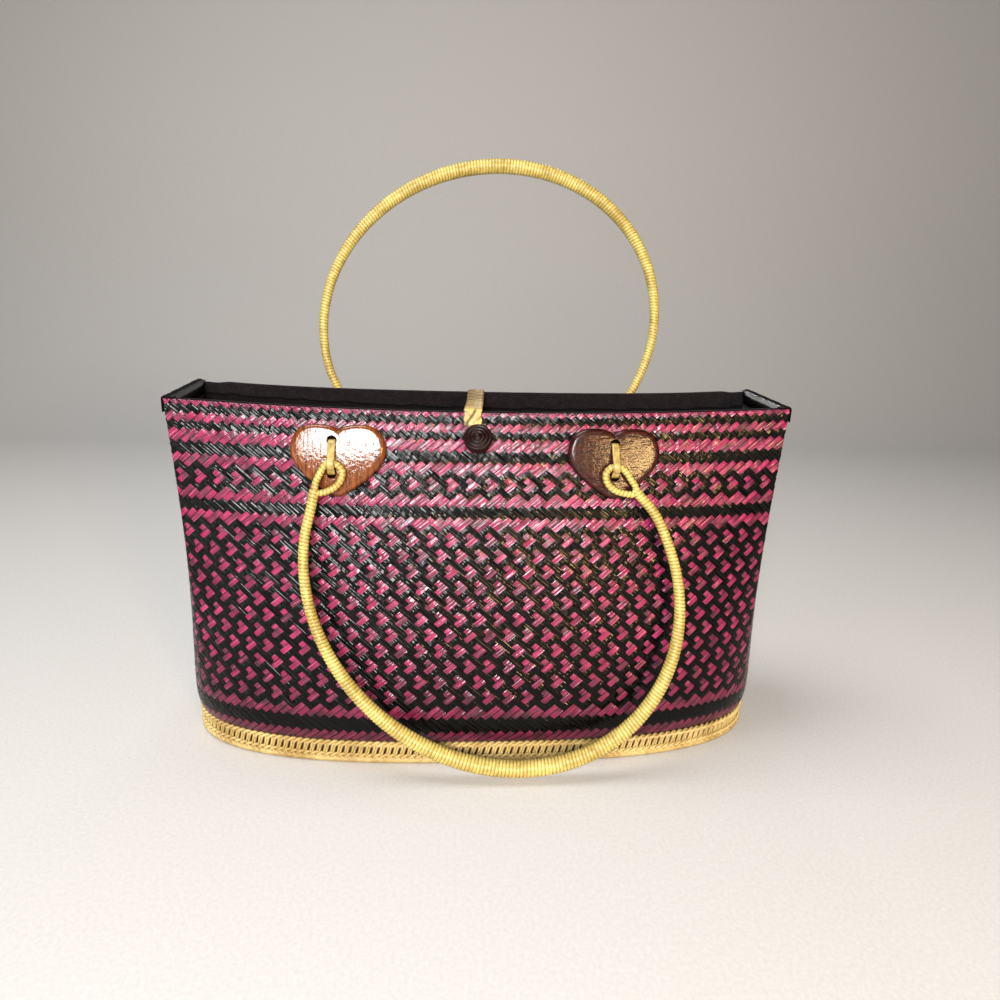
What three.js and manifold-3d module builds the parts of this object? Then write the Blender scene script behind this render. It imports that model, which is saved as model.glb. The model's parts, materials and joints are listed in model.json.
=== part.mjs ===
// Woven straw handbag with two stiff hoop handles. Millimetres, +Z up.
// The origin is the middle of the base, on the surface that the bag stands on. The front faces -Y.
import * as THREE from 'three';
import { ParametricGeometry } from 'three/addons/geometries/ParametricGeometry.js';
import { mergeVertices } from 'three/addons/utils/BufferGeometryUtils.js';
import Module from 'manifold-3d';

// Woven wall: an oval foot that turns into a long rectangular mouth, with an almost even girth.
const rimHeight = 172;
const footHalfLength = 148.7;
const footHalfDepth = 60.5;
const footPower = 2.78;
const frontHalfWidth = 145;
const backHalfWidth = 149.6;
const frontRimY = -30;
const backRimY = 34;
const backRimPull = 13.4; // the closing strap draws the middle of the back rim forward
const frontRimDip = 4.4;
const backRimDip = 2.3;
const blendPower = 1.17; // how fast the oval turns into the rectangle on the way up
const waist = 1.85; // the ends draw in a little at mid height
const footTuck = 3.0; // the wall curls in where it meets the base ring
const tuckHeight = 6;
const wallThickness = 2.0;

// Cane base ring and floor.
const ringHalfLength = 146.3;
const ringHalfDepth = 58.1;
const ringHeight = 12;
const ringWidth = 4.2;
const floorThickness = 3;
const gap = 0.3; // between pieces that touch

// Cloth lining: loose in the wall, drawn up to it at the rim.
const liningThickness = 1.0;
const liningGap = 1.5;
const liningRimGap = 0.4;
const liningDrawnFrom = 0.905; // as a share of the wall's rise
const liningDrawnTo = 0.95;
const liningFootClear = 0.4;
const liningStep = 11.5; // height at which the pouch turns out over the ring

// Glossy binding over the short rims.
const bindingThickness = 0.8;
const bindingDrop = 6.3;
const bindingCrown = 1.5;
const bindingShoulder = 1.8;
const bindingShoulderDrop = 0.8;
const bindingEnd = 0.006; // shares of the short rim
const bindingLegEnd = 0.1;
const bindingLegRamp = 0.015;

// Wooden hearts, one pair on each face, and the cane ties that hold the handles.
const heartWidth = 43.2;
const heartThickness = 4;
const heartTop = 17.8; // heights on the heart count from the level of the handle's pivot
const heartNotch = 15.2;
const heartTip = -14.9;
const heartBevel = 0.9;
const heartLobe = 10.2; // the top of each lobe, out from the middle
const heartWidest = 6.5;
const heartTipHalf = 1.4;
const heartCurveSteps = 5;
const holeSteps = 5;
const stationHeight = 144.2;
const tieHoleRadius = 2.3;
const tieUpper = 10.5;
const tieLower = -4.5;
const tieWidth = 3.6;
const tieThickness = 0.8;
const tieClear = 0.45; // between the tie and the wire it holds
const tieArchStart = 65; // degrees above level
const tieArchEnd = -90;
const tieArchSteps = 8;
const pivotProud = 7.7; // from the wall's face to the pivot
const slotClear = 0.4;
const slotDepth = 9;
const stations = [
  { hand: 'left', heartX: -66.6, tieX: -69.2, outward: -1 },
  { hand: 'right', heartX: 60.1, tieX: 60.3, outward: 1 },
];

// Hoop handles: a skewed ellipse in a plane through the pivots, thick in the middle of its length.
const hoopEndRadius = 2.3;
const hoopMidRadius = 4.1;
const hoopTaper = 2.4;
const eyeWireRadius = 1.6;
const eyeSteps = 22;
const eyeSides = 6;
const hoopStart = 21; // the hoop bends in to its eyes above this level
const hoopControls = 28;
const hoopSteps = 44;
const hoopSides = 8;
const hoopHalfHeight = 86;
// Eyes: a bent loop through points out from the tie and along the handle. It hangs on the tie at the first.
const eyes = {
  left: {
    joint: [7.1, 11.4],
    loop: [[0, 0], [-2.4, 0.25], [-5.0, 3.2], [-4.4, 7.4], [-1.6, 10.6], [3.0, 12.8], [6.6, 12.9], [6.8, 9.2],
      [4.8, 4.4], [2.2, 0.25]],
  },
  right: {
    joint: [9.4, 11.0],
    loop: [[0, 0], [-2.4, 0.25], [-4.8, 3.4], [-4.0, 7.2], [-1.2, 10.2], [3.4, 11.9], [8.4, 12.2], [9.4, 9.6],
      [7.0, 5.6], [4.6, 2.2], [2.2, 0.25]],
  },
};
const handles = [
  { face: 'front', lean: 11.5, reach: -1, middle: 5.3, drop: 56.3, halfWidth: 86, skew: 0.145 },
  { face: 'back', lean: 17, reach: 1, middle: 6.5, drop: 63, halfWidth: 92, skew: 0.08 },
];

// Closing strap and turned button, both a little left of the middle.
const closureX = -3.5;
const strapWidth = 8;
const strapThickness = 1.5;
const strapClear = 0.4;
const strapTailHeight = 134;
const strapSag = 1.2;
const strapEndDrop = 7.6; // below the front rim, where the strap splits into its loop
const strapBackLevel = 154;
const strapShoulder = 0.8; // how the strap rounds each rim
const strapRimDrop = 1;
const strapCrown = 0.4;
const strapCrownIn = 3.8;
const strapSlant = 0.06; // it crosses the mouth to the left as it comes forward
const strapShift = -0.2;
const loopShift = -0.4; // the loop is pulled a little off the button's middle
const loopDrop = 12.3; // middle of the loop below the front rim
const loopHalfWidth = 6.1;
const loopHalfLength = 7.8;
const loopHoleHalfWidth = 2.9;
const loopHoleHalfLength = 5.4;
const loopPower = 2.4;
const loopSteps = 28;
const loopHoleSteps = 20;
const buttonHeight = 151.6;
const buttonTilt = 38; // degrees above level
const buttonLength = 12.4;
const buttonRadius = 6.6;
const neckRadius = 2.0;
const buttonStandOff = 1.4;
const buttonSides = 20;

const outlineSteps = 720;
const longColumns = 20;
const shortColumns = 6;
const columnEase = 0.25;
const wallLevels = [0, 0.03, 0.08, 0.16, 0.28, 0.42, 0.58, 0.74, 0.87, 0.95, 1];

const wasm = await Module();
wasm.setup();

const straw = new THREE.MeshStandardMaterial({ color: 0x6b1a3c, roughness: 0.55, metalness: 0 });
const cane = new THREE.MeshStandardMaterial({ color: 0xc49a50, roughness: 0.6, metalness: 0 });
const paleCane = new THREE.MeshStandardMaterial({ color: 0xdcc56e, roughness: 0.5, metalness: 0 });
const cloth = new THREE.MeshStandardMaterial({ color: 0x17120f, roughness: 0.9, metalness: 0 });
const vinyl = new THREE.MeshStandardMaterial({ color: 0x0c0b0b, roughness: 0.2, metalness: 0 });
const lacquer = new THREE.MeshStandardMaterial({ color: 0x7a3714, roughness: 0.2, metalness: 0 });
const darkWood = new THREE.MeshStandardMaterial({ color: 0x2a1313, roughness: 0.35, metalness: 0 });

const bag = new THREE.Group();

function addPiece(name, geometry, material, parent = bag) {
  const mesh = new THREE.Mesh(geometry, material);
  mesh.name = name;
  parent.add(mesh);
  return mesh;
}

// Joins coincident vertices and drops triangles that have collapsed to a line.
function weld(geometry) {
  geometry.deleteAttribute('normal');
  geometry.deleteAttribute('uv');
  const welded = mergeVertices(geometry, 1e-3);
  const index = welded.getIndex().array;
  const kept = [];
  for (let i = 0; i < index.length; i += 3) {
    const [a, b, c] = [index[i], index[i + 1], index[i + 2]];
    if (a !== b && b !== c && c !== a) kept.push(a, b, c);
  }
  welded.setIndex(kept);
  welded.computeVertexNormals();
  return welded;
}

function toSolid(geometry) {
  const welded = weld(geometry.clone());
  const vertProperties = Float32Array.from(welded.getAttribute('position').array);
  const triVerts = Uint32Array.from(welded.getIndex().array);
  return new wasm.Manifold(new wasm.Mesh({ numProp: 3, vertProperties, triVerts }));
}

function fromSolid(solid) {
  const mesh = solid.getMesh();
  const geometry = new THREE.BufferGeometry();
  geometry.setAttribute('position', new THREE.BufferAttribute(Float32Array.from(mesh.vertProperties), 3));
  geometry.setIndex(Array.from(mesh.triVerts));
  geometry.computeVertexNormals();
  return geometry;
}

// A closed outline that can be read at any fraction of its length.
function measuredOutline(points) {
  const lengths = [0];
  for (let i = 1; i <= points.length; i += 1) {
    lengths.push(lengths[i - 1] + points[i % points.length].distanceTo(points[i - 1]));
  }
  const total = lengths[points.length];
  function at(fraction) {
    const target = (fraction - Math.floor(fraction)) * total;
    let low = 0;
    let high = points.length;
    while (high - low > 1) {
      const middle = (low + high) >> 1;
      if (lengths[middle] <= target) low = middle;
      else high = middle;
    }
    const part = (target - lengths[low]) / (lengths[high] - lengths[low]);
    return new THREE.Vector2().lerpVectors(points[low], points[high % points.length], part);
  }
  return { at, total };
}

function signedPower(value, power) {
  return Math.sign(value) * Math.abs(value) ** power;
}

// A superellipse that starts at its front middle and runs anticlockwise seen from above.
function superellipse(halfLength, halfDepth, power, steps) {
  const points = [];
  for (let i = 0; i < steps; i += 1) {
    const angle = (2 * Math.PI * i) / steps;
    const x = halfLength * signedPower(Math.sin(angle), 2 / power);
    const y = -halfDepth * signedPower(Math.cos(angle), 2 / power);
    points.push(new THREE.Vector2(x, y));
  }
  return points;
}

// The rim seen from above: a straight front, straight short ends and a back that is pulled forward.
function mouthPoints() {
  const points = [];
  const steps = outlineSteps / 4;
  for (let i = 0; i < steps; i += 1) {
    points.push(new THREE.Vector2((frontHalfWidth * i) / steps, frontRimY));
  }
  points.push(new THREE.Vector2(frontHalfWidth, frontRimY));
  for (let i = 0; i <= 2 * steps; i += 1) {
    const across = 1 - i / steps;
    const pull = backRimPull * (1 - across * across);
    points.push(new THREE.Vector2(backHalfWidth * across, backRimY - pull));
  }
  points.push(new THREE.Vector2(-frontHalfWidth, frontRimY));
  for (let i = 1; i < steps; i += 1) {
    points.push(new THREE.Vector2(-frontHalfWidth * (1 - i / steps), frontRimY));
  }
  return points;
}

const footOutline = measuredOutline(superellipse(footHalfLength, footHalfDepth, footPower, outlineSteps));
const mouthOutline = measuredOutline(mouthPoints());
const ringOutline = measuredOutline(superellipse(ringHalfLength, ringHalfDepth, footPower, outlineSteps));
const wallFoot = ringHeight + gap;
const frontCorner = frontHalfWidth / mouthOutline.total;
const shortLength = Math.hypot(backHalfWidth - frontHalfWidth, backRimY - frontRimY);
const backCorner = frontCorner + shortLength / mouthOutline.total;

// Fractions of the girth at which the wall has its columns, closer together towards the mouth's corners.
function girthColumns() {
  const spans = [
    [-frontCorner, frontCorner, longColumns],
    [frontCorner, backCorner, shortColumns],
    [backCorner, 1 - backCorner, longColumns],
    [1 - backCorner, 1 - frontCorner, shortColumns],
  ];
  const fractions = [];
  for (const [start, end, count] of spans) {
    for (let i = 0; i < count; i += 1) {
      const t = (2 * i) / count - 1;
      const eased = t * (1 + columnEase - columnEase * t * t);
      fractions.push(start + ((end - start) * (eased + 1)) / 2);
    }
  }
  return fractions;
}
const columns = girthColumns();

// Moves a point of an outline inwards, square to the outline there.
function insetPoint(read, fraction, inset) {
  const step = 1 / outlineSteps;
  const here = read(fraction);
  const along = read(fraction + step).sub(read(fraction - step)).normalize();
  return here.add(new THREE.Vector2(-along.y, along.x).multiplyScalar(inset));
}

// A point of the wall: fraction of the girth from the front middle, rise from 0 at the foot to 1 at the rim.
function wallPoint(fraction, rise, inset = 0) {
  const blend = Math.max(rise, 0) ** blendPower;
  const belly = 1 - (waist / frontHalfWidth) * 4 * rise * (1 - rise);
  function section(part) {
    const point = footOutline.at(part).lerp(mouthOutline.at(part), blend);
    point.x *= belly;
    return point;
  }
  const height = wallFoot + (rimHeight - wallFoot) * rise;
  const tuck = footTuck * Math.exp(-(height - wallFoot) / tuckHeight);
  const plan = insetPoint(section, fraction, inset + tuck);
  const across = Math.min(Math.abs(plan.x) / (plan.y < 0 ? frontHalfWidth : backHalfWidth), 1);
  const dip = plan.y < 0 ? frontRimDip * (1 - across ** 2) : backRimDip * (1 - across ** 4);
  return new THREE.Vector3(plan.x, plan.y, height - dip * rise ** 3);
}

function ringPoint(fraction, height, inset) {
  const plan = insetPoint(ringOutline.at, fraction, inset);
  return new THREE.Vector3(plan.x, plan.y, height);
}

// The wall's outer point at a given x and height, on the front (side -1) or the back (side 1).
function facePoint(side, x, height) {
  const middle = side < 0 ? 0 : 0.5;
  let rise = (height - wallFoot) / (rimHeight - wallFoot);
  let point;
  for (let pass = 0; pass < 8; pass += 1) {
    let low = middle - frontCorner;
    let high = middle + frontCorner;
    for (let i = 0; i < 40; i += 1) {
      const fraction = (low + high) / 2;
      point = wallPoint(fraction, rise);
      if ((point.x - x) * side > 0) low = fraction;
      else high = fraction;
    }
    rise += (height - point.z) / (rimHeight - wallFoot);
  }
  return point;
}

// A surface swept round the girth. rows is a list of functions that give a row's point at a fraction.
function girthSurface(rows, closed) {
  const stacks = closed ? rows.length : rows.length - 1;
  const surface = (u, v, target) => {
    const row = rows[Math.round(v * stacks) % rows.length];
    const column = Math.round(u * columns.length) % columns.length;
    target.copy(row(columns[column]));
  };
  return weld(new ParametricGeometry(surface, columns.length, stacks));
}

// Each heart's place: on the wall's face at the pivot's level, x along the face, y up it and z out of it.
// yaw and rise settle the heart on the face where the face bows between the heart's sides.
function stationFrame(side, x) {
  const reach = 10;
  const above = facePoint(side, x, stationHeight + reach);
  const below = facePoint(side, x, stationHeight - reach);
  const lean = Math.atan2((below.y - above.y) * side, 2 * reach);
  const group = new THREE.Group();
  const up = new THREE.Vector3(0, -side * Math.sin(lean), Math.cos(lean));
  const out = new THREE.Vector3(0, side * Math.cos(lean), Math.sin(lean));
  const along = new THREE.Vector3().crossVectors(up, out);
  group.quaternion.setFromRotationMatrix(new THREE.Matrix4().makeBasis(along, up, out));
  group.position.copy(facePoint(side, x, stationHeight));
  const half = heartWidth / 2;
  function proud(offset, height) {
    return facePoint(side, x - side * offset, stationHeight + height).sub(group.position).dot(out);
  }
  const slope = (proud(half, 0) - proud(-half, 0)) / heartWidth;
  let rise = 0;
  for (const offset of [-half, -half / 2, half / 2, half]) {
    for (const height of [heartTip, heartTip / 2, 0, heartTop / 2, heartTop]) {
      rise = Math.max(rise, proud(offset, height) - slope * offset);
    }
  }
  return { group, out, yaw: -Math.atan(slope), rise };
}

// A closed band of even thickness round a loop of points, extruded across its width and centred.
function bandLoop(points, thickness, width) {
  function shifted(distance) {
    return points.map((point, i) => {
      const before = points[(i + points.length - 1) % points.length];
      const after = points[(i + 1) % points.length];
      const into = point.clone().sub(before).normalize();
      const onward = after.clone().sub(point).normalize();
      const normal = new THREE.Vector2(into.y + onward.y, -into.x - onward.x).normalize();
      const mitre = 1 / Math.max(0.5, normal.x * into.y - normal.y * into.x);
      return point.clone().add(normal.multiplyScalar(distance * mitre));
    });
  }
  const shape = new THREE.Shape(shifted(thickness / 2));
  shape.holes.push(new THREE.Path(shifted(-thickness / 2)));
  const geometry = new THREE.ExtrudeGeometry(shape, { depth: width, bevelEnabled: false });
  return geometry.translate(0, 0, -width / 2);
}

// Cane tie: in one hole, behind the wall, out of the other and over the handle's eye.
function tieGeometry() {
  const behind = -wallThickness - gap - tieThickness / 2;
  const front = heartThickness + 4 * gap;
  const archRadius = eyeWireRadius + tieClear + tieThickness / 2;
  const points = [new THREE.Vector2(behind, tieLower), new THREE.Vector2(behind, tieUpper)];
  points.push(new THREE.Vector2(front, tieUpper));
  for (let i = 0; i <= tieArchSteps; i += 1) {
    const degrees = tieArchStart + ((tieArchEnd - tieArchStart) * i) / tieArchSteps;
    const angle = THREE.MathUtils.degToRad(degrees);
    const out = pivotProud + archRadius * Math.cos(angle);
    points.push(new THREE.Vector2(out, archRadius * Math.sin(angle)));
  }
  points.push(new THREE.Vector2(front, tieLower));
  points.reverse();
  return bandLoop(points, tieThickness, tieWidth).rotateY(-Math.PI / 2);
}

// Heart outline: the right half is three curves from the notch to the tip, and the left half mirrors it.
function heartGeometry(tieOffset) {
  const half = heartWidth / 2;
  const corners = [
    [[0, heartNotch], [2, heartTop - 0.6], [6, heartTop], [heartLobe, heartTop]],
    [[heartLobe, heartTop], [17.5, heartTop], [half, 13], [half, heartWidest]],
    [[half, heartWidest], [half, -3.5], [7.5, -11.5], [heartTipHalf, heartTip]],
  ];
  const right = [];
  for (const curve of corners) {
    const bezier = new THREE.CubicBezierCurve(...curve.map(([x, y]) => new THREE.Vector2(x, y)));
    right.push(...bezier.getPoints(heartCurveSteps).slice(right.length ? 1 : 0));
  }
  const left = right.slice(1).reverse().map((point) => new THREE.Vector2(-point.x, point.y));
  const shape = new THREE.Shape([...right, ...left].reverse());
  for (const height of [tieUpper, tieLower]) {
    const hole = new THREE.Path();
    hole.absarc(tieOffset, height, tieHoleRadius, 0, 2 * Math.PI, true);
    shape.holes.push(hole);
  }
  const geometry = new THREE.ExtrudeGeometry(shape, {
    depth: heartThickness - 2 * heartBevel,
    bevelThickness: heartBevel,
    bevelSize: heartBevel,
    bevelOffset: -heartBevel,
    bevelSegments: 1,
    curveSegments: holeSteps,
  });
  return weld(geometry.translate(0, 0, gap + heartBevel));
}

// A round wire along a list of points in the XZ plane, either a closed ring or capped at both ends.
function wire(points, radii, sides, closed) {
  const count = points.length;
  const inPlane = new THREE.Vector3(0, 1, 0);
  function ringPointOf(i, angle) {
    const before = points[closed ? (i + count - 1) % count : Math.max(i - 1, 0)];
    const after = points[closed ? (i + 1) % count : Math.min(i + 1, count - 1)];
    const along = after.clone().sub(before).normalize();
    const across = new THREE.Vector3().crossVectors(inPlane, along);
    const offset = across.multiplyScalar(Math.cos(angle)).addScaledVector(inPlane, Math.sin(angle));
    return points[i].clone().addScaledVector(offset, radii[i]);
  }
  const stacks = closed ? count : count + 1;
  const surface = (u, v, target) => {
    const row = Math.round(v * stacks);
    const angle = (2 * Math.PI * (Math.round(u * sides) % sides)) / sides;
    if (closed) target.copy(ringPointOf(row % count, angle));
    else if (row === 0) target.copy(points[0]);
    else if (row === stacks) target.copy(points[count - 1]);
    else target.copy(ringPointOf(row - 1, angle));
  };
  return weld(new ParametricGeometry(surface, sides, stacks));
}

// A hoop with an eye at each end, drawn with the pivot's level at z = 0.
function handleGeometry({ reach, middle, drop, halfWidth, skew }) {
  const hoopPoint = (angle) => {
    const fall = drop + hoopHalfHeight * Math.sin(angle);
    const x = middle + halfWidth * Math.cos(angle) + skew * (fall - drop);
    return new THREE.Vector3(x, 0, reach * fall);
  };
  function placed({ tieX, outward }) {
    return ([out, along]) => new THREE.Vector3(tieX + outward * out, 0, reach * along);
  }
  const loops = stations.map((station) => {
    const bends = eyes[station.hand].loop.map(placed(station));
    const curve = new THREE.CatmullRomCurve3(bends, true, 'centripetal');
    return curve.getSpacedPoints(eyeSteps).slice(0, eyeSteps);
  });
  const [leftEnd, rightEnd] = stations.map((station) => placed(station)(eyes[station.hand].joint));
  const startAngle = Math.asin((hoopStart - drop) / hoopHalfHeight);
  const controls = [leftEnd];
  for (let i = 0; i <= hoopControls; i += 1) {
    controls.push(hoopPoint(Math.PI - startAngle - ((Math.PI - 2 * startAngle) * i) / hoopControls));
  }
  controls.push(rightEnd);
  const centreLine = new THREE.CatmullRomCurve3(controls, false, 'centripetal');
  const points = centreLine.getSpacedPoints(hoopSteps);
  const radii = points.map((point, i) => {
    const swell = Math.sin((Math.PI * i) / hoopSteps) ** hoopTaper;
    return hoopEndRadius + (hoopMidRadius - hoopEndRadius) * swell;
  });
  let solid = toSolid(wire(points, radii, hoopSides, false));
  for (const loop of loops) {
    solid = solid.add(toSolid(wire(loop, loop.map(() => eyeWireRadius), eyeSides, true)));
  }
  return fromSolid(solid);
}

// Woven wall, slotted where the ties pass through it.
const outerRows = wallLevels.map((rise) => (fraction) => wallPoint(fraction, rise));
const innerRows = wallLevels.map((rise) => (fraction) => wallPoint(fraction, rise, wallThickness));
let wall = toSolid(girthSurface([...outerRows, ...innerRows.reverse()], true));

const faces = [
  { face: 'front', side: -1 },
  { face: 'back', side: 1 },
];
const pivots = {};
for (const { face, side } of faces) {
  for (const { hand, heartX, tieX } of stations) {
    const { group, out, yaw, rise } = stationFrame(side, heartX);
    const tieOffset = (tieX - heartX) * -side;
    const name = `${face}_${hand}`;
    const heart = addPiece(`heart_${name}`, heartGeometry(tieOffset), lacquer, group);
    heart.rotation.y = yaw;
    heart.position.z = rise;
    addPiece(`tie_${name}`, weld(tieGeometry().translate(tieOffset, 0, 0)), paleCane, group);
    bag.add(group);
    group.updateMatrixWorld(true);
    for (const height of [tieUpper, tieLower]) {
      const slot = new THREE.BoxGeometry(tieWidth + 2 * slotClear, tieThickness + 2 * slotClear, slotDepth);
      slot.translate(tieOffset, height, 0).applyMatrix4(group.matrixWorld);
      wall = wall.subtract(toSolid(slot));
    }
    pivots[face] = group.position.clone().addScaledVector(out, pivotProud);
  }
}
addPiece('body_wall', fromSolid(wall), straw);

// Base ring: lower braid, recessed stakes and upper twist, listed from the ground up.
const ringProfile = [
  { height: 0, inset: 0.6 },
  { height: 1.2, inset: 0 },
  { height: 3.6, inset: 0 },
  { height: 4.4, inset: 1.2 },
  { height: 8.8, inset: 1.2 },
  { height: 9.4, inset: 0.2 },
  { height: 11.3, inset: 0.2 },
  { height: ringHeight, inset: 1.0 },
  { height: ringHeight, inset: ringWidth },
  { height: 0, inset: ringWidth },
];
const ringRows = ringProfile.map(({ height, inset }) => (fraction) => ringPoint(fraction, height, inset));
addPiece('base_ring', girthSurface(ringRows, true), cane);

const floorEdge = columns.map((fraction) => ringPoint(fraction, 0, ringWidth + gap));
const floorShape = new THREE.Shape(floorEdge.map((point) => new THREE.Vector2(point.x, point.y)));
const floorSolid = new THREE.ExtrudeGeometry(floorShape, { depth: floorThickness, bevelEnabled: false });
addPiece('base_floor', weld(floorSolid), cane);

// Lining: a pouch that stands on the floor inside the ring and hangs inside the wall.
const liningFloor = floorThickness + gap;
const liningFoot = ringWidth + liningFootClear;
function liningInset(rise) {
  const drawnUp = THREE.MathUtils.smoothstep(rise, liningDrawnFrom, liningDrawnTo);
  return wallThickness + THREE.MathUtils.lerp(liningGap, liningRimGap, drawnUp);
}
const liningLevels = [0.03, 0.16, 0.42, 0.74, liningDrawnFrom, liningDrawnTo, 1];
const pouchOutside = [
  () => new THREE.Vector3(0, 0, liningFloor),
  (fraction) => ringPoint(fraction, liningFloor, liningFoot),
  (fraction) => ringPoint(fraction, liningStep, liningFoot),
  ...liningLevels.map((rise) => (fraction) => wallPoint(fraction, rise, liningInset(rise))),
];
const clothIn = liningThickness;
const clothInside = (fraction, rise) => wallPoint(fraction, rise, liningInset(rise) + clothIn);
const pouchInside = [
  ...[...liningLevels].reverse().map((rise) => (fraction) => clothInside(fraction, rise)),
  (fraction) => ringPoint(fraction, liningStep, liningFoot + clothIn),
  (fraction) => ringPoint(fraction, liningFloor + clothIn, liningFoot + clothIn),
  () => new THREE.Vector3(0, 0, liningFloor + clothIn),
];
addPiece('lining', girthSurface([...pouchOutside, ...pouchInside], false), cloth);

// Binding: a strip folded over each short rim. Its inner leg stops short of the mouth's corners.
function bindingGeometry(hand) {
  const start = new THREE.Vector2(hand * frontHalfWidth, frontRimY);
  const end = new THREE.Vector2(hand * backHalfWidth, backRimY);
  const along = end.clone().sub(start).normalize();
  const inward = new THREE.Vector2(-along.y * hand, along.x * hand);
  const covered = wallThickness + liningRimGap + liningThickness;
  const outer = -gap - bindingThickness;
  const inner = covered + 3 * gap + bindingThickness;
  const ends = [bindingEnd, bindingLegEnd - bindingLegRamp, bindingLegEnd];
  const stationsAlong = [...ends, 0.3, 0.5, 0.7, ...ends.map((t) => 1 - t).reverse()];
  const rows = stationsAlong.map((t) => {
    const legged = Math.min(t, 1 - t) > bindingLegEnd - bindingLegRamp / 2;
    const legFoot = legged ? -bindingDrop : gap + 0.05;
    const shoulder = bindingCrown - bindingShoulderDrop;
    const profile = [
      [outer, -bindingDrop], [-gap, -bindingDrop], [-gap, gap], [inner - bindingThickness, gap],
      [inner - bindingThickness, legFoot], [inner, legFoot], [inner, shoulder],
      [inner - bindingShoulder, bindingCrown], [outer + bindingShoulder, bindingCrown], [outer, shoulder],
    ];
    const foot = start.clone().lerp(end, t);
    return profile.map(([across, height]) => {
      const plan = foot.clone().addScaledVector(inward, across);
      return new THREE.Vector3(plan.x, plan.y, rimHeight + height);
    });
  });
  const sides = rows[0].length;
  const stacks = rows.length + 1;
  const capPoint = (row) => row[2].clone().lerp(row[8], 0.5);
  const surface = (u, v, target) => {
    const row = Math.round(v * stacks);
    const column = Math.round(u * sides) % sides;
    const turned = hand > 0 ? column : (sides - column) % sides;
    if (row === 0) target.copy(capPoint(rows[0]));
    else if (row === stacks) target.copy(capPoint(rows[rows.length - 1]));
    else target.copy(rows[row - 1][turned]);
  };
  return weld(new ParametricGeometry(surface, sides, stacks));
}
addPiece('binding_left', bindingGeometry(-1), vinyl);
addPiece('binding_right', bindingGeometry(1), vinyl);

for (const handle of handles) {
  const mesh = addPiece(`handle_${handle.face}`, handleGeometry(handle), paleCane);
  mesh.position.set(0, pivots[handle.face].y, pivots[handle.face].z);
  mesh.rotation.x = -THREE.MathUtils.degToRad(handle.lean);
}

// Closing strap: up the back, over both rims and down the front, where it ends in a buttonhole loop.
function strapGeometry() {
  const half = strapThickness / 2;
  const off = strapClear + half;
  const backFoot = facePoint(1, closureX, strapTailHeight);
  const backTop = wallPoint(0.5, 1);
  const frontTop = wallPoint(0, 1);
  const frontFoot = facePoint(-1, closureX, frontTop.z - strapEndDrop);
  const route = [
    [backFoot.y + off, backFoot.z],
    [facePoint(1, closureX, strapBackLevel).y + off, strapBackLevel],
    [backTop.y + off, backTop.z - strapRimDrop],
    [backTop.y + off - strapShoulder, backTop.z + off],
    [backTop.y - strapCrownIn, backTop.z + off + strapCrown],
    [(backTop.y + frontTop.y) / 2, (backTop.z + frontTop.z) / 2 + off - strapSag],
    [frontTop.y + strapCrownIn, frontTop.z + off + strapCrown],
    [frontTop.y - off + strapShoulder, frontTop.z + off],
    [frontTop.y - off, frontTop.z - strapRimDrop],
    [frontFoot.y - off, frontFoot.z],
  ].map(([y, z]) => new THREE.Vector2(y, z));
  const edge = (distance) => route.map((point, i) => {
    const before = route[Math.max(i - 1, 0)];
    const after = route[Math.min(i + 1, route.length - 1)];
    const along = after.clone().sub(before).normalize();
    return point.clone().add(new THREE.Vector2(-along.y, along.x).multiplyScalar(distance));
  });
  const outline = new THREE.Shape([...edge(half), ...edge(-half).reverse()]);
  const ribbon = new THREE.ExtrudeGeometry(outline, { depth: strapWidth, bevelEnabled: false });
  ribbon.translate(0, 0, -strapWidth / 2).rotateX(Math.PI / 2).rotateZ(Math.PI / 2);
  ribbon.translate(closureX + strapShift, 0, 0);
  ribbon.applyMatrix4(new THREE.Matrix4().makeShear(0, 0, strapSlant, 0, 0, 0));
  const loop = new THREE.Shape(superellipse(loopHalfWidth, loopHalfLength, loopPower, loopSteps));
  const hole = superellipse(loopHoleHalfWidth, loopHoleHalfLength, loopPower, loopHoleSteps);
  loop.holes.push(new THREE.Path(hole));
  const plate = new THREE.ExtrudeGeometry(loop, { depth: strapThickness, bevelEnabled: false });
  plate.translate(0, 0, -half);
  const lean = Math.atan2(frontTop.y - facePoint(-1, closureX, frontTop.z - 2 * loopDrop).y, 2 * loopDrop);
  const middle = facePoint(-1, closureX, frontTop.z - loopDrop);
  plate.rotateX(Math.PI / 2 - lean).translate(closureX + loopShift, middle.y - off, middle.z);
  return fromSolid(toSolid(ribbon).add(toSolid(plate)));
}
addPiece('strap', strapGeometry(), paleCane);

// Turned button: a neck and a full barrel with a ringed face, tipped up by the strap's pull.
const buttonProfile = [
  [0, 0], [neckRadius, 0], [neckRadius, 3.2], [4.2, 3.7], [5.4, 4.9], [6.1, 6.7], [6.5, 8.8],
  [buttonRadius, 10.8], [5.6, 11.7], [5.0, 11.2], [4.4, 11.9], [3.5, 11.4], [2.7, 12.1], [1.8, 11.6],
  [1.0, buttonLength], [0, buttonLength],
].map(([radius, height]) => new THREE.Vector2(radius, height));
const button = addPiece('button', weld(new THREE.LatheGeometry(buttonProfile, buttonSides)), darkWood);
const buttonFoot = facePoint(-1, closureX, buttonHeight);
const tilt = THREE.MathUtils.degToRad(buttonTilt);
const buttonAxis = new THREE.Vector3(0, -Math.cos(tilt), Math.sin(tilt));
button.position.copy(buttonFoot).addScaledVector(buttonAxis, buttonStandOff);
button.rotation.x = Math.PI - tilt;

export default bag;
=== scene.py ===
import json
import math
from functools import partial
import bmesh
import bpy
import numpy as np
from mathutils import Matrix


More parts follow.
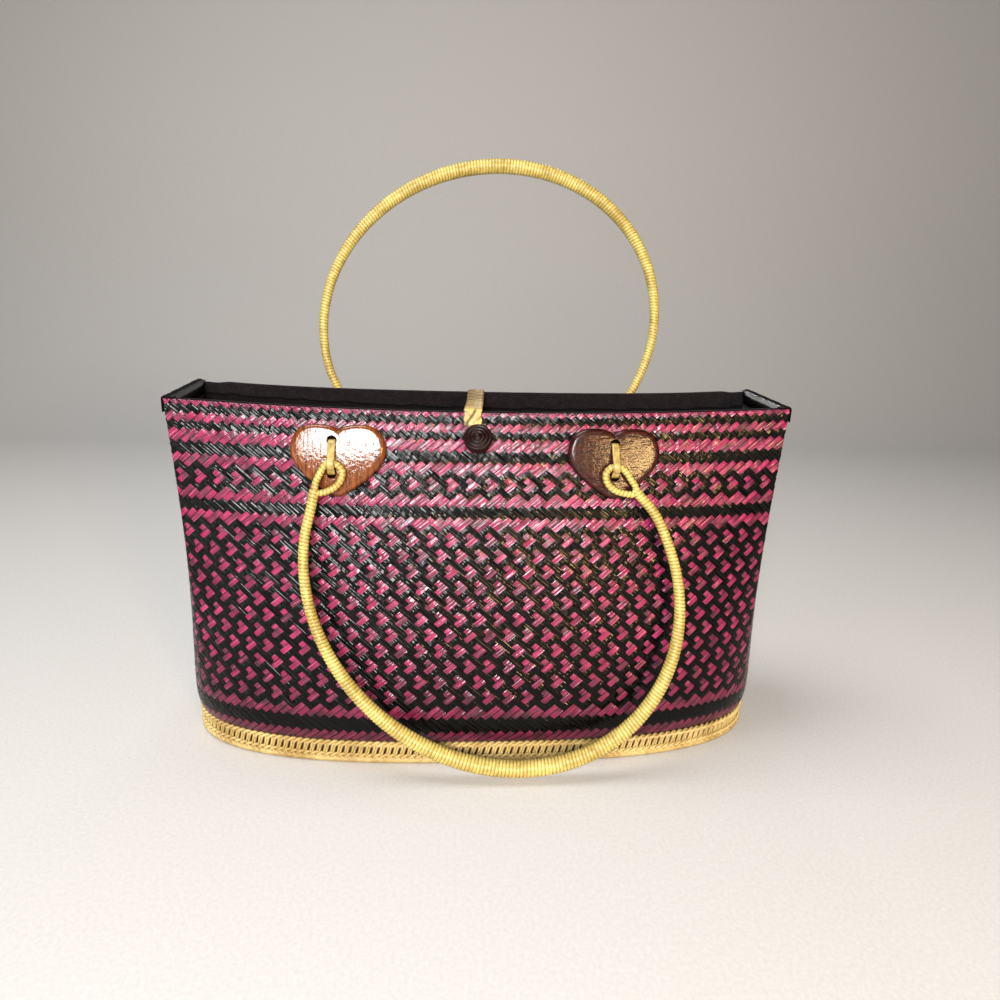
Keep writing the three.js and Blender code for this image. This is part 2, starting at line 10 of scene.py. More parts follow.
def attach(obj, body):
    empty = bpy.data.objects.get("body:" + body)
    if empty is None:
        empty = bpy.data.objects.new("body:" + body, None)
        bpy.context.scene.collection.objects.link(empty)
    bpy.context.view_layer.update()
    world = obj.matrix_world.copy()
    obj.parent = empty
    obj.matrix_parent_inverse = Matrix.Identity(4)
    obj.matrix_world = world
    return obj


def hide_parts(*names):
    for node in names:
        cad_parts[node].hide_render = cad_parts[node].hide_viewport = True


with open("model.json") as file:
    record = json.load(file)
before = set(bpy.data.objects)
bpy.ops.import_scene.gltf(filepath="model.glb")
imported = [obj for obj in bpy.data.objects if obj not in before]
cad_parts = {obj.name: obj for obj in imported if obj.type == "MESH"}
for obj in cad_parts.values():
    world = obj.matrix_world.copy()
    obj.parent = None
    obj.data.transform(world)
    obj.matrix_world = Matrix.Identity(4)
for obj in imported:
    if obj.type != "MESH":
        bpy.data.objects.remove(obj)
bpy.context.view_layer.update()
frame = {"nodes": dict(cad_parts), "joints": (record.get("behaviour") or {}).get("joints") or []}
mm = 0.001
xAxis, zAxis = np.array([1.0, 0, 0]), np.array([0, 0, 1.0])
rng = np.random.default_rng(7)
print("frame loaded")


# sRGB hex to linear RGBA
def linear(text):
    parts = [int(text[i:i + 2], 16) / 255 for i in (1, 3, 5)]
    return [c / 12.92 if c <= 0.04045 else ((c + 0.055) / 1.055) ** 2.4 for c in parts] + [1.0]


# fills a node's sockets; each value is a number, a colour or the output that links to it
def plug(node, sockets):
    for key, value in sockets.items():
        if isinstance(value, bpy.types.NodeSocket):
            node.id_data.links.new(value, node.inputs[key])
        else:
            node.inputs[key].default_value = value


# adds one node with its settings and sockets, and gives one of its outputs
def addNode(tree, kind, sockets=None, out=0, **settings):
    node = tree.nodes.new(kind)
    for key, value in settings.items():
        setattr(node, key, value)
    plug(node, sockets or {})
    return node.outputs[out]


# a new material, the function that adds a node to it, and its shader
def startMaterial(name):
    material = bpy.data.materials.new(name)
    material.use_nodes = True
    tree = material.node_tree
    return material, partial(addNode, tree), tree.nodes["Principled BSDF"]


# plain stuff whose colour wanders between two tones, with a faint relief where one is asked for
def plainMaterial(name, low, high, scale, detail, rough, shine=0.5, relief=0.0):
    material, add, shader = startMaterial(name)
    place = add("ShaderNodeTexCoord", out="Object")
    grain = add("ShaderNodeTexNoise", {"Vector": place, "Scale": scale, "Detail": detail})
    mix = add("ShaderNodeMix", {0: grain, 6: linear(low), 7: linear(high)}, 2, data_type="RGBA")
    plug(shader, {"Base Color": mix, "Roughness": rough, "Specular IOR Level": shine})
    if relief:
        bump = add("ShaderNodeBump", {"Strength": relief, "Distance": 0.0002, "Height": grain})
        plug(shader, {"Normal": bump})
    return material


# puts vertices (in mm) and faces into a mesh; corners holds a UV for each face corner
def makePiece(name, vertices, faces, material, corners=None, values=None, smooth=True):
    mesh = bpy.data.meshes.new(name)
    sizes = np.concatenate([np.full(len(f), f.shape[1]) for f in faces])
    loops = np.concatenate([f.ravel() for f in faces])
    mesh.vertices.add(len(vertices))
    mesh.vertices.foreach_set("co", (np.asarray(vertices) * mm).astype(np.float32).ravel())
    mesh.loops.add(len(loops))
    mesh.loops.foreach_set("vertex_index", loops.astype(np.int32))
    mesh.polygons.add(len(sizes))
    starts = np.concatenate([[0], np.cumsum(sizes)[:-1]])
    mesh.polygons.foreach_set("loop_start", starts.astype(np.int32))
    mesh.polygons.foreach_set("use_smooth", np.full(len(sizes), smooth))
    if corners is not None:
        layer = mesh.uv_layers.new(name="UVMap")
        layer.data.foreach_set("uv", np.concatenate([c.reshape(-1, 2) for c in corners]).astype(np.float32).ravel())
    for key, value in (values or {}).items():
        attribute = mesh.attributes.new(key, "FLOAT", "POINT")
        attribute.data.foreach_set("value", np.asarray(value, np.float32).ravel())
    mesh.update()
    mesh.validate()
    piece = bpy.data.objects.new(name, mesh)
    bpy.context.scene.collection.objects.link(piece)
    mesh.materials.append(material)
    return piece


# quads over k grids of n by m points; the grid may close along or across itself, and its ends may be capped
def gridFaces(k, n, m, closeAlong=False, closeAcross=True, capped=False):
    i = np.arange(n if closeAlong else n - 1)
    j = np.arange(m if closeAcross else m - 1)
    a, b = np.meshgrid(i, j, indexing="ij")
    a2, b2 = (a + 1) % n, (b + 1) % m
    quads = np.stack([a * m + b, a * m + b2, a2 * m + b2, a2 * m + b], -1).reshape(-1, 4)
    steps = np.stack([np.stack([a, b], -1), np.stack([a, b + 1], -1), np.stack([a + 1, b + 1], -1),
                      np.stack([a + 1, b], -1)], -2).reshape(-1, 4, 2)
    shift = np.arange(k)[:, None, None] * n * m
    faces = [(quads[None] + shift).reshape(-1, 4)]
    if capped:
        ring = np.arange(m)
        faces.append((ring[None] + shift[:, 0]).reshape(-1, m)[:, ::-1])
        faces.append((ring[None] + (n - 1) * m + shift[:, 0]).reshape(-1, m))
    return faces, steps


# closed strips: k profiles carried along n stations; along is each station's mm, across the profile's 0 to 1
def stripPiece(name, points, along, material, values=None, across=None, closeAlong=False, smooth=True):
    k, n, m = points.shape[:3]
    faces, steps = gridFaces(k, n, m, closeAlong, True, not closeAlong)
    if closeAlong:
        along = np.append(along, 2 * along[-1] - along[-2])
    across = np.arange(m + 1) / m if across is None else np.asarray(across)
    corners = [np.tile(np.stack([along[steps[..., 0]], across[steps[..., 1]]], -1), (k, 1, 1))]
    corners += [np.zeros(extra.shape + (2,)) for extra in faces[1:]]
    return makePiece(name, points.reshape(-1, 3), faces, material, corners, values, smooth)


# a surface of rows that close round; a row of one repeated point becomes a pole
def roundPiece(name, rows, material, values=None, closed=False):
    points = np.asarray(rows)
    n, m = points.shape[:2]
    faces, steps = gridFaces(1, n, m, closed, True)
    corners = [np.stack([steps[..., 1] / m, steps[..., 0] / n], -1)]
    return makePiece(name, points.reshape(-1, 3), faces, material, corners, values)


# drops doubled vertices, such as a pole's, and the faces that have no area
def mergeDoubles(piece, distance=2e-6):
    work = bmesh.new()
    work.from_mesh(piece.data)
    bmesh.ops.remove_doubles(work, verts=work.verts, dist=distance)
    bmesh.ops.dissolve_degenerate(work, edges=work.edges, dist=distance)
    work.to_mesh(piece.data)
    work.free()


def unit(vectors):
    return vectors / np.linalg.norm(vectors, axis=-1, keepdims=True)


# angles of evenly spaced points round a circle
def roundAngles(count):
    return np.arange(count) * 2 * np.pi / count


def smoothstep(x, low, high):
    t = np.clip((x - low) / (high - low), 0, 1)
    return t * t * (3 - 2 * t)


# The body's form: an oval foot that turns into a long rectangular mouth, all in mm
body = dict(rimHeight=172, footHalfLength=148.7, footHalfDepth=60.5, footPower=2.78, frontHalfWidth=145,
            backHalfWidth=149.6, frontRimY=-30, backRimY=34, backRimPull=13.4, frontRimDip=4.4, backRimDip=2.3,
            blendPower=1.17, waist=1.85, footTuck=3.0, tuckHeight=6, thickness=2.0, foot=12.3,
            ringHalfLength=146.3, ringHalfDepth=58.1, ringWidth=4.2)
wallHeight = body["rimHeight"] - body["foot"]
outlineStep = 1 / 720  # share of an outline over which its direction is taken


# a closed outline that can be read at any share of its length
def measured(points):
    closed = np.vstack([points, points[:1]])
    lengths = np.concatenate([[0], np.cumsum(np.linalg.norm(np.diff(closed, axis=0), axis=1))])
    return lengths / lengths[-1], closed, lengths[-1]


def readOutline(outline, share):
    marks, points, _ = outline
    part = share - np.floor(share)
    return np.stack([np.interp(part, marks, points[:, 0]), np.interp(part, marks, points[:, 1])], -1)


# x = a sin^(2/n), y = -b cos^(2/n): starts at the front middle, anticlockwise from above
def superellipse(a, b, power, count=1440):
    angle = np.linspace(0, 2 * np.pi, count, endpoint=False)
    s, c = np.sin(angle), np.cos(angle)
    return np.stack([a * np.sign(s) * abs(s) ** (2 / power), -b * np.sign(c) * abs(c) ** (2 / power)], -1)


# straight front, straight short ends, and a back that is pulled forward in the middle as a parabola
def mouthOutline():
    f, b = body["frontHalfWidth"], body["backHalfWidth"]
    front = np.stack([np.linspace(0, f, 200), np.full(200, body["frontRimY"])], -1)
    across = np.linspace(1, -1, 400)
    back = np.stack([b * across, body["backRimY"] - body["backRimPull"] * (1 - across ** 2)], -1)
    rest = np.stack([np.linspace(-f, 0, 200, endpoint=False), np.full(200, body["frontRimY"])], -1)
    return np.vstack([front, back, rest])


foot = measured(superellipse(body["footHalfLength"], body["footHalfDepth"], body["footPower"]))
mouth = measured(mouthOutline())
ringEdge = measured(superellipse(body["ringHalfLength"], body["ringHalfDepth"], body["footPower"]))
girth = mouth[2]
frontCorner = body["frontHalfWidth"] / girth


# numbers and arrays that fit together, as float arrays of one shape
def matched(*values):
    return np.broadcast_arrays(*(np.asarray(value, float) for value in values))


# the direction into the bag, square to a section's outline
def inwardOf(section, share):
    along = unit(section(share + outlineStep) - section(share - outlineStep))
    return np.stack([-along[..., 1], along[..., 0]], -1)


# a point of the wall: share of the girth, rise from 0 at the foot to 1 at the rim, inset square to the wall
def wallPoint(share, rise, inset=0.0):
    share, rise, inset = matched(share, rise, inset)
    blend = np.clip(rise, 0, 1)[..., None] ** body["blendPower"]
    belly = 1 - body["waist"] / body["frontHalfWidth"] * 4 * rise * (1 - rise)

    def section(part):
        plan = readOutline(foot, part) * (1 - blend) + readOutline(mouth, part) * blend
        return plan * np.stack([belly, np.ones_like(belly)], -1)

    tuck = body["footTuck"] * np.exp(-wallHeight * rise / body["tuckHeight"])
    plan = section(share) + inwardOf(section, share) * (inset + tuck)[..., None]
    front = plan[..., 1] < 0
    across = np.minimum(abs(plan[..., 0]) / np.where(front, body["frontHalfWidth"], body["backHalfWidth"]), 1)
    dip = np.where(front, body["frontRimDip"] * (1 - across ** 2), body["backRimDip"] * (1 - across ** 4))
    height = body["foot"] + wallHeight * rise - dip * rise ** 3
    return np.concatenate([plan, height[..., None]], -1)


# a point of the base ring: share of its length, height, and inset square to its outer edge
def ringPoint(share, height, inset):
    share, height, inset = matched(share, height, inset)
    section = partial(readOutline, ringEdge)
    plan = section(share) + inwardOf(section, share) * inset[..., None]
    return np.concatenate([plan, height[..., None]], -1)


# the wall's outer point on the front (side -1) or back (side 1) at an x and a height
def facePoint(side, x, height):
    middle = 0.0 if side < 0 else 0.5
    shares = np.linspace(middle - frontCorner, middle + frontCorner, 1201)
    rise = (height - body["foot"]) / wallHeight
    for _ in range(6):
        row = wallPoint(shares, rise)
        order = np.argsort(row[:, 0])
        point = np.array([np.interp(x, row[order, 0], row[order, c]) for c in range(3)])
        rise += (height - point[2]) / wallHeight
    return point


# where a joint's axis lies, in mm
def pivotOf(name):
    return np.array(next(joint for joint in frame["joints"] if joint["name"] == name)["pos_m"]) / mm


# Split straw, dyed and dried flat: glossy, streaked along its fibres, with painted shade as a dark line down each edge
# where strips meet
def strawMaterial(name, shade, middle, light, rough, shine):
    material, add, shader = startMaterial(name)
    uv = add("ShaderNodeUVMap", uv_map="UVMap")
    parts = add("ShaderNodeSeparateXYZ", {0: uv}).node.outputs
    strip = add("ShaderNodeAttribute", out="Fac", attribute_name="strip")
    lane = add("ShaderNodeMath", {0: parts[1], 1: 8.0}, operation="MULTIPLY")  # fibres across a strip
    run = add("ShaderNodeMath", {0: parts[0], 1: 0.05}, operation="MULTIPLY")  # a fibre shows for 20 mm
    seed = add("ShaderNodeMath", {0: strip, 1: 91.0}, operation="MULTIPLY")
    place = add("ShaderNodeCombineXYZ", {0: run, 1: lane, 2: seed})
    fibre = add("ShaderNodeTexNoise", {"Vector": place, "Scale": 1.0, "Detail": 3.0, "Roughness": 0.6})
    ridgePlace = add("ShaderNodeVectorMath", {0: place, 1: (0.6, 0.4, 1.0)}, operation="MULTIPLY")
    ridge = add("ShaderNodeTexNoise", {"Vector": ridgePlace, "Scale": 1.0, "Detail": 0.0})  # 3 to a strip
    patchPlace = add("ShaderNodeCombineXYZ", {0: run, 2: seed})
    patch = add("ShaderNodeTexNoise", {"Vector": patchPlace, "Scale": 3.2, "Detail": 1.0})
    both = add("ShaderNodeMath", {0: fibre, 1: patch}, operation="ADD")
    tone = add("ShaderNodeMapRange", {0: both, 1: 0.82, 2: 1.12, 3: 0.0, 4: 1.0})
    first = add("ShaderNodeMix", {0: tone, 6: linear(shade), 7: linear(middle)}, 2, data_type="RGBA")
    pale = add("ShaderNodeMapRange", {0: fibre, 1: 0.58, 2: 0.7, 3: 0.0, 4: 0.85})
    second = add("ShaderNodeMix", {0: pale, 6: first, 7: linear(light)}, 2, data_type="RGBA")
    # painted shade: a dark line down both edges of each strip, where strips meet
    within = add("ShaderNodeMath", {0: parts[1]}, operation="FRACT")
    offset = add("ShaderNodeMath", {0: within, 1: 0.5}, operation="SUBTRACT")
    aside = add("ShaderNodeMath", {0: offset}, operation="ABSOLUTE")
    edge = add("ShaderNodeMapRange", {0: aside, 1: 0.43, 2: 0.49, 3: 0.0, 4: 0.85})
    gapShadedColour = add("ShaderNodeMix", {0: edge, 6: second, 7: linear("#060304")}, 2, data_type="RGBA")
    # painted shade: the straw is darkened towards the foot, where less light falls
    where = add("ShaderNodeTexCoord", out="Object")
    level = add("ShaderNodeSeparateXYZ", {0: where}, 2)
    deep = add("ShaderNodeMapRange", {0: level, 1: 0.01, 2: 0.06, 3: 0.32, 4: 1.0})  # darker at the foot
    footShadedColour = add("ShaderNodeVectorMath", {0: gapShadedColour, "Scale": deep}, operation="SCALE")
    gloss = add("ShaderNodeMapRange", {0: fibre, 1: 0.35, 2: 0.65, 3: rough + 0.2, 4: rough - 0.1})
    bump = add("ShaderNodeBump", {"Strength": 1.0, "Distance": 0.0004, "Height": ridge})
    plug(shader, {"Base Color": footShadedColour, "Roughness": gloss, "Normal": bump, "Specular IOR Level": shine})
    return material


pinkStraw = strawMaterial("dyed pink straw", "#3C0620", "#8A1045", "#D2628E", 0.24, 0.46)
blackStraw = strawMaterial("dyed black straw", "#010101", "#020202", "#151917", 0.15, 0.17)


# Straw behind the weave, coloured dark and dull as painted shade: it shows only as the lines between strips
darkBacking = plainMaterial("dark straw backing", "#0A0707", "#1E1014", 900.0, 2.0, 0.8)

weave = dict(strips=160, rows=85, spread=0.06, widths=(2.73, 3.0), flat=0.96, strip=0.24, lift=0.17, depth=0.45,
             backing=0.82, twist=0.05, heartStep=8, heartCells=(0, 2, 3), toothStep=4, toothCell=3)
# bands from the rim down: rows, what lies on top, and how far the hearts are shifted along their repeat
bands = [(1, "pink", 0), (2, "black", 0), (2, "pink", 0), (2, "black", 0), (3, "pink", 0), (3, "black", 0),
         (2, "pink", 0), (1, "tooth", 0), (5, "hearts", 1), (1, "tooth", 0), (2, "pink", 0), (3, "black", 0),
         (2, "pink", 0), (1, "tooth", 0), (45, "hearts", 7), (1, "tooth", 0), (2, "pink", 0), (4, "black", 0),
         (3, "pink", 0)]
rowCounts = [count for count, _, _ in bands]
bandOfRow = np.repeat([kind for _, kind, _ in bands], rowCounts)
shiftOfRow = np.repeat([shift for _, _, shift in bands], rowCounts)


# which strip lies on top where the pink strip q and the black strip p cross; hearts are a twill that repeats every 8
def pinkOnTop(row, p, q):
    kind = bandOfRow[row]
    inHeart = np.isin((3 * p + q + shiftOfRow[row]) % weave["heartStep"], weave["heartCells"])
    tooth = (p + q) % weave["toothStep"] == weave["toothCell"]
    return (kind == "pink") | ((kind == "tooth") & tooth) | ((kind == "hearts") & inHeart)


# strips of one colour: from the rim each runs down by half a pitch a row, to the left (pink) or right (black),
# and its height over the wall's middle swings between over and under; the section is a low trapezium
def weaveStrips(hand):
    count, rows = weave["strips"], weave["rows"]
    pitch, rowStep = girth / count, wallHeight / rows
    index = np.arange(count)[:, None]
    row = np.arange(rows)[None]
    if hand < 0:
        over = pinkOnTop(row + 0 * index, index - row, index + 0 * row)
    else:
        over = ~pinkOnTop(row + 0 * index, index + 0 * row, index + row)
    middle = np.where(over, 1.0, -1.0) * weave["lift"]
    edges = np.concatenate([middle[:, :1], (middle[:, 1:] + middle[:, :-1]) / 2, middle[:, -1:]], 1)
    lift = np.empty((count, 2 * rows + 1))
    lift[:, 0::2] = edges
    lift[:, 1::2] = middle
    v = np.arange(2 * rows + 1) / 2
    u = index + hand * (v[None] - 0.5) / 2  # strips p and q meet at the middle of row q - p
    slope = math.atan2(rowStep, pitch / 2)
    half, top = weave["widths"][int(hand > 0)] / 2, weave["strip"] / 2
    profile = np.array([[-half, -top], [-half * weave["flat"], top], [half * weave["flat"], top], [half, -top]])
    sideU = math.sin(slope) / pitch * profile[:, 0]
    sideV = -hand * math.cos(slope) / rowStep * profile[:, 0]
    share = (u[..., None] + sideU) / count
    rise = 1 - np.clip((v[None, :, None] + sideV) / rows, 0, 1)
    roll = weave["twist"] * rng.standard_normal(lift.shape)  # each float lies a little askew
    # strips are wider on the long sides, low down
    share = share + weave["spread"] * (1 - rise) * np.sin(4 * np.pi * share) / (4 * np.pi)
    inset = weave["depth"] - lift[..., None] - profile[:, 1] - roll[..., None] * profile[:, 0] / half
    points = wallPoint(share, rise + 0 * share, inset + 0 * share)
    if hand > 0:
        points = points[:, :, ::-1]
    along = v * math.hypot(rowStep, pitch / 2)
    return points, along


# each colour is parted into front and back strips by where the strip's middle lies
def makeWeave():
    pieces = []
    tones = rng.random((2, weave["strips"]))
    for hand, colour, material in ((-1, "pink", pinkStraw), (1, "black", blackStraw)):
        points, along = weaveStrips(hand)
        front = points[:, points.shape[1] // 2, 0, 1] < 0
        across = [0, 0.02, 0.98, 1, 1]
        for half, chosen in (("front", front), ("back", ~front)):
            tone = np.repeat(tones[int(hand > 0)][chosen], points.shape[1] * points.shape[2])
            pieces.append(stripPiece(f"{colour}_straw_{half}", points[chosen], along, material, {"strip": tone}, across,
                                     smooth=False))
    return pieces


def makeBacking():
    shares = np.arange(240) / 240
    levels = np.concatenate([[0, 0.01, 0.03, 0.06], np.linspace(0.1, 0.997, 24)])
    outer = [wallPoint(shares, rise, weave["backing"]) for rise in levels]
    inner = [wallPoint(shares, rise, body["thickness"]) for rise in levels[::-1]]
    return roundPiece("straw_backing", outer + inner, darkBacking, closed=True)


# the strips turn over the rim: a half round whose radius swells once for each strip, on the slant
rim = dict(radius=0.6, swell=0.05, crest=1.6, middle=1.3, drop=0.62, perStrip=6, around=9, slant=0.9, past=0.35, run=6)


def makeRim():
    count = weave["strips"] * rim["perStrip"]
    shares = np.arange(count) / count
    angle = np.linspace(-rim["past"], math.pi + rim["past"], rim["around"])
    phase = (shares * weave["strips"])[None] + rim["slant"] * angle[:, None] / math.pi
    crest = 1 - abs(2 * (phase - np.floor(phase)) - 1) ** 2
    radius = rim["radius"] - rim["swell"] + rim["swell"] * rim["crest"] * crest
    inset = rim["middle"] - radius * np.cos(angle)[:, None]
    top = wallPoint(shares[None] + 0 * inset, 1.0, inset)
    top[..., 2] += radius * np.sin(angle)[:, None] - rim["drop"]
    tone = np.repeat(rng.random(weave["strips"]), rim["perStrip"])
    piece = roundPiece("straw_rim", top[::-1], pinkStraw, {"strip": np.tile(tone, rim["around"])})
    layer = piece.data.uv_layers["UVMap"].data
    uv = np.empty(len(layer) * 2, np.float32)
    layer.foreach_get("uv", uv)
    uv = uv.reshape(-1, 2)
    turned = np.stack([uv[:, 1] * rim["run"], uv[:, 0] * weave["strips"]], -1)
    layer.foreach_set("uv", turned.astype(np.float32).ravel())
    return piece


weavePieces = makeWeave()
backing = makeBacking()
rimPiece = makeRim()
for piece in weavePieces + [backing, rimPiece]:
    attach(piece, "bag")
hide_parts("body_wall")
print("woven wall made")


# Natural cane, split and twisted: straw gold, streaked along the fibre, with painted shade in brown in the hollows
def caneMaterial(name, hollowShade, middle, crest, rough):
    material, add, shader = startMaterial(name)
    relief = add("ShaderNodeAttribute", out="Fac", attribute_name="crest")
    uv = add("ShaderNodeUVMap", uv_map="UVMap")
    stretch = add("ShaderNodeMapping", {"Vector": uv, "Scale": (0.35, 9.0, 1.0)})
    streak = add("ShaderNodeTexNoise", {"Vector": stretch, "Scale": 1.0, "Detail": 3.0})
    place = add("ShaderNodeTexCoord", out="Object")
    blotch = add("ShaderNodeTexNoise", {"Vector": place, "Scale": 70.0, "Detail": 2.0})
    tone = add("ShaderNodeMath", {0: streak, 1: blotch}, operation="ADD")
    spread = add("ShaderNodeMapRange", {0: tone, 1: 0.75, 2: 1.25, 3: 0.0, 4: 1.0})
    base = add("ShaderNodeMix", {0: spread, 6: linear(middle), 7: linear(crest)}, 2, data_type="RGBA")
    # painted shade: the crest attribute darkens the cane to the hollow colour in grooves and on sides turned away
    rise = add("ShaderNodeMapRange", {0: relief, 1: 0.12, 2: 0.85, 3: 0.0, 4: 1.0})
    colour = add("ShaderNodeMix", {0: rise, 6: linear(hollowShade), 7: base}, 2, data_type="RGBA")
    bump = add("ShaderNodeBump", {"Strength": 0.25, "Distance": 0.0002, "Height": streak})
    plug(shader, {"Base Color": colour, "Normal": bump, "Roughness": rough})
    return material


ringCane = caneMaterial("natural twisted cane", "#2C2010", "#98793E", "#D2B878", 0.5)
woundCane = caneMaterial("pale wound cane", "#4C3C16", "#9E863C", "#CCB866", 0.38)
flatCane = caneMaterial("flat cane tie", "#2E220C", "#826A34", "#BAA562", 0.42)

ring = dict(sides=7, rodRadius=1.75, rodSteps=360,
            braidPitch=10.4, braidSteps=16, braidHeight=3.3, braidInset=1.0, braidOut=0.55, braidUp=1.45,
            braidWide=0.78, braidThick=0.55,
            twistPitch=6.9, twistSteps=12, twistHeight=10.5, twistInset=1.1, twistRadius=0.78, twistWide=1.05,
            stakes=206, stakeWidth=1.42, stakeLow=3.2, stakeHigh=9.6, stakeInset=1.15, stakeTilt=0.5, stakeLevels=5,
            stakeRun=6, coreSteps=240, coreFoot=0.2, coreOver=1.9, coreInset=2.6)
# a stake's section, two half rounds side by side: across, depth and crest; the crest paints shade, dark at the sides
# and where the halves meet
stakeSection = np.array([(-1, 1.5, 0), (-0.92, 0.3, 0.6), (-0.5, 0, 1), (-0.14, 0.12, 0.75), (0, 0.5, 0.1),
                         (0.14, 0.12, 0.75), (0.5, 0, 1), (0.92, 0.3, 0.6), (1, 1.5, 0)])


# round strands that wander about a line round the ring: out and up are offsets along it, in mm
def ringStrands(name, shares, height, inset, out, up, wide, thick):
    base = ringPoint(shares, height, inset)
    ahead = unit(np.roll(base, -1, 0) - np.roll(base, 1, 0))
    outward = np.stack([ahead[:, 1], -ahead[:, 0], 0 * ahead[:, 0]], -1)
    angle = roundAngles(ring["sides"])
    centre = base[None] + out[..., None] * outward[None] + up[..., None] * zAxis
    section = thick * np.cos(angle)[:, None, None] * outward[None] + wide * np.sin(angle)[:, None, None] * zAxis
    points = centre[:, :, None] + np.swapaxes(section, 0, 1)[None]
    # painted shade: each strand is lighter where it stands out and on its outward face, darker behind
    proud = (out - out.min()) / max(np.ptp(out), 1e-6)
    face = (np.cos(angle) + 1) / 2
    crest = np.clip(0.25 + 0.75 * proud[..., None] * 0.5 + 0.5 * face, 0, 1)
    return stripPiece(name, points, shares * ringEdge[2], ringCane, {"crest": crest}, closeAlong=True)


# even shares of the ring, so many to each period of a strand, and how far each strand has turned there
def strandTurns(pitch, steps, strands):
    periods = round(ringEdge[2] / pitch)
    shares = np.arange(periods * steps) / (periods * steps)
    return shares, shares[None] * periods * 2 * np.pi + roundAngles(strands)[:, None]


def makeRing():
    # foot rod: one round rod laid along the ground
    r = ring["rodRadius"]
    shares = np.arange(ring["rodSteps"]) / ring["rodSteps"]
    flat = np.zeros((1, ring["rodSteps"]))
    pieces = [ringStrands("cane_foot_rod", shares, r, r, flat, flat, r, r)]
    # braid: three flat strands; each swings up and down as a sine and in and out at twice the pace
    shares, turn = strandTurns(ring["braidPitch"], ring["braidSteps"], 3)
    pieces.append(ringStrands("cane_braid", shares, ring["braidHeight"], ring["braidInset"],
                              ring["braidOut"] * np.sin(2 * turn), ring["braidUp"] * np.sin(turn),
                              ring["braidWide"], ring["braidThick"]))
    # upper twist: two strands wound round each other
    r = ring["twistRadius"]
    shares, turn = strandTurns(ring["twistPitch"], ring["twistSteps"], 2)
    pieces.append(ringStrands("cane_twist", shares, ring["twistHeight"], ring["twistInset"], r * np.cos(turn),
                              r * np.sin(turn), r * ring["twistWide"], r))
    # stakes: short upright pairs of half-round sticks, each a little tilted, and wider at both ends
    count, levels = ring["stakes"], np.linspace(0, 1, ring["stakeLevels"])
    shares = (np.arange(count)[:, None] + ring["stakeTilt"] * (levels - 0.5)) / count
    height = ring["stakeLow"] + (ring["stakeHigh"] - ring["stakeLow"]) * levels
    wide = ring["stakeWidth"] * (0.88 + 0.24 * (2 * levels - 1) ** 2)
    share = shares[..., None] + wide[:, None] * stakeSection[:, 0] / ringEdge[2]
    points = ringPoint(share, height[:, None], ring["stakeInset"] + stakeSection[:, 1])
    crest = np.tile(stakeSection[:, 2], (count, len(levels), 1))
    pieces.append(stripPiece("cane_stakes", points, levels * ring["stakeRun"], ringCane, {"crest": crest}))
    # core: the shadowed band behind the stakes, down to the ground and in to the floor, coloured all in the hollow tone
    # as painted shade
    shares = np.arange(ring["coreSteps"]) / ring["coreSteps"]
    low, high = ring["coreFoot"], ring["stakeHigh"] + ring["coreOver"]
    near, far = ring["coreInset"], body["ringWidth"]
    rows = [ringPoint(shares, z, inset) for z, inset in ((low, near), (high, near), (high, far), (low, far))]
    core = roundPiece("cane_core", rows, ringCane, {"crest": np.zeros((4, ring["coreSteps"]))}, closed=True)
    return pieces + [core], core


ringPieces, ringCore = makeRing()
for piece in ringPieces:
    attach(piece, "bag")
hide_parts("base_ring")


# Woven cane matting under the bag: a plain over-and-under check of flat strips
def floorMaterial():
    material, add, shader = startMaterial("woven cane floor")
    place = add("ShaderNodeTexCoord", out="Object")
    turned = add("ShaderNodeMapping", {"Vector": place, "Rotation": (0, 0, math.pi / 4)})
    check = add("ShaderNodeTexChecker", {"Vector": turned, "Scale": 170.0, "Color1": linear("#9C7434"),
                                         "Color2": linear("#C49A50")})
    grain = add("ShaderNodeTexNoise", {"Vector": place, "Scale": 400.0, "Detail": 3.0})
    mix = add("ShaderNodeMix", {0: grain, 6: check, 7: linear("#6B4A1C")}, 2, data_type="RGBA")
    bump = add("ShaderNodeBump", {"Strength": 0.6, "Distance": 0.0005, "Height": check.node.outputs[1]})
    plug(shader, {"Base Color": mix, "Normal": bump, "Roughness": 0.6})
    return material


frame["nodes"]["base_floor"].data.materials.clear()
frame["nodes"]["base_floor"].data.materials.append(floorMaterial())
print("base ring made")


# Plain cotton lining: black, matt, with the faint grain of its threads, and painted shade below the hem and deeper in
# the bag
def clothMaterial():
    material, add, shader = startMaterial("black cotton cloth")
    place = add("ShaderNodeTexCoord", out="Object")
    threads = add("ShaderNodeTexVoronoi", {"Vector": place, "Scale": 1100.0})  # 0.9 mm, coarse to show
    fuzz = add("ShaderNodeTexNoise", {"Vector": place, "Scale": 260.0, "Detail": 4.0})
    tone = add("ShaderNodeMath", {0: threads, 1: fuzz}, operation="MULTIPLY")
    mix = add("ShaderNodeMix", {0: tone, 6: linear("#0E0B0C"), 7: linear("#2C2629")}, 2, data_type="RGBA")
    # painted shade: the hem attribute darkens the cloth below the hem, on its outer face and on the floor
    hem = add("ShaderNodeAttribute", out="Fac", attribute_name="hem")
    colour = add("ShaderNodeMix", {0: hem, 6: linear("#060405"), 7: mix}, 2, data_type="RGBA")
    bump = add("ShaderNodeBump", {"Strength": 0.4, "Distance": 0.0003, "Height": tone})
    plug(shader, {"Base Color": colour, "Normal": bump, "Roughness": 0.95, "Specular IOR Level": 0.08,
                  "Sheen Weight": 0.05})
    return material


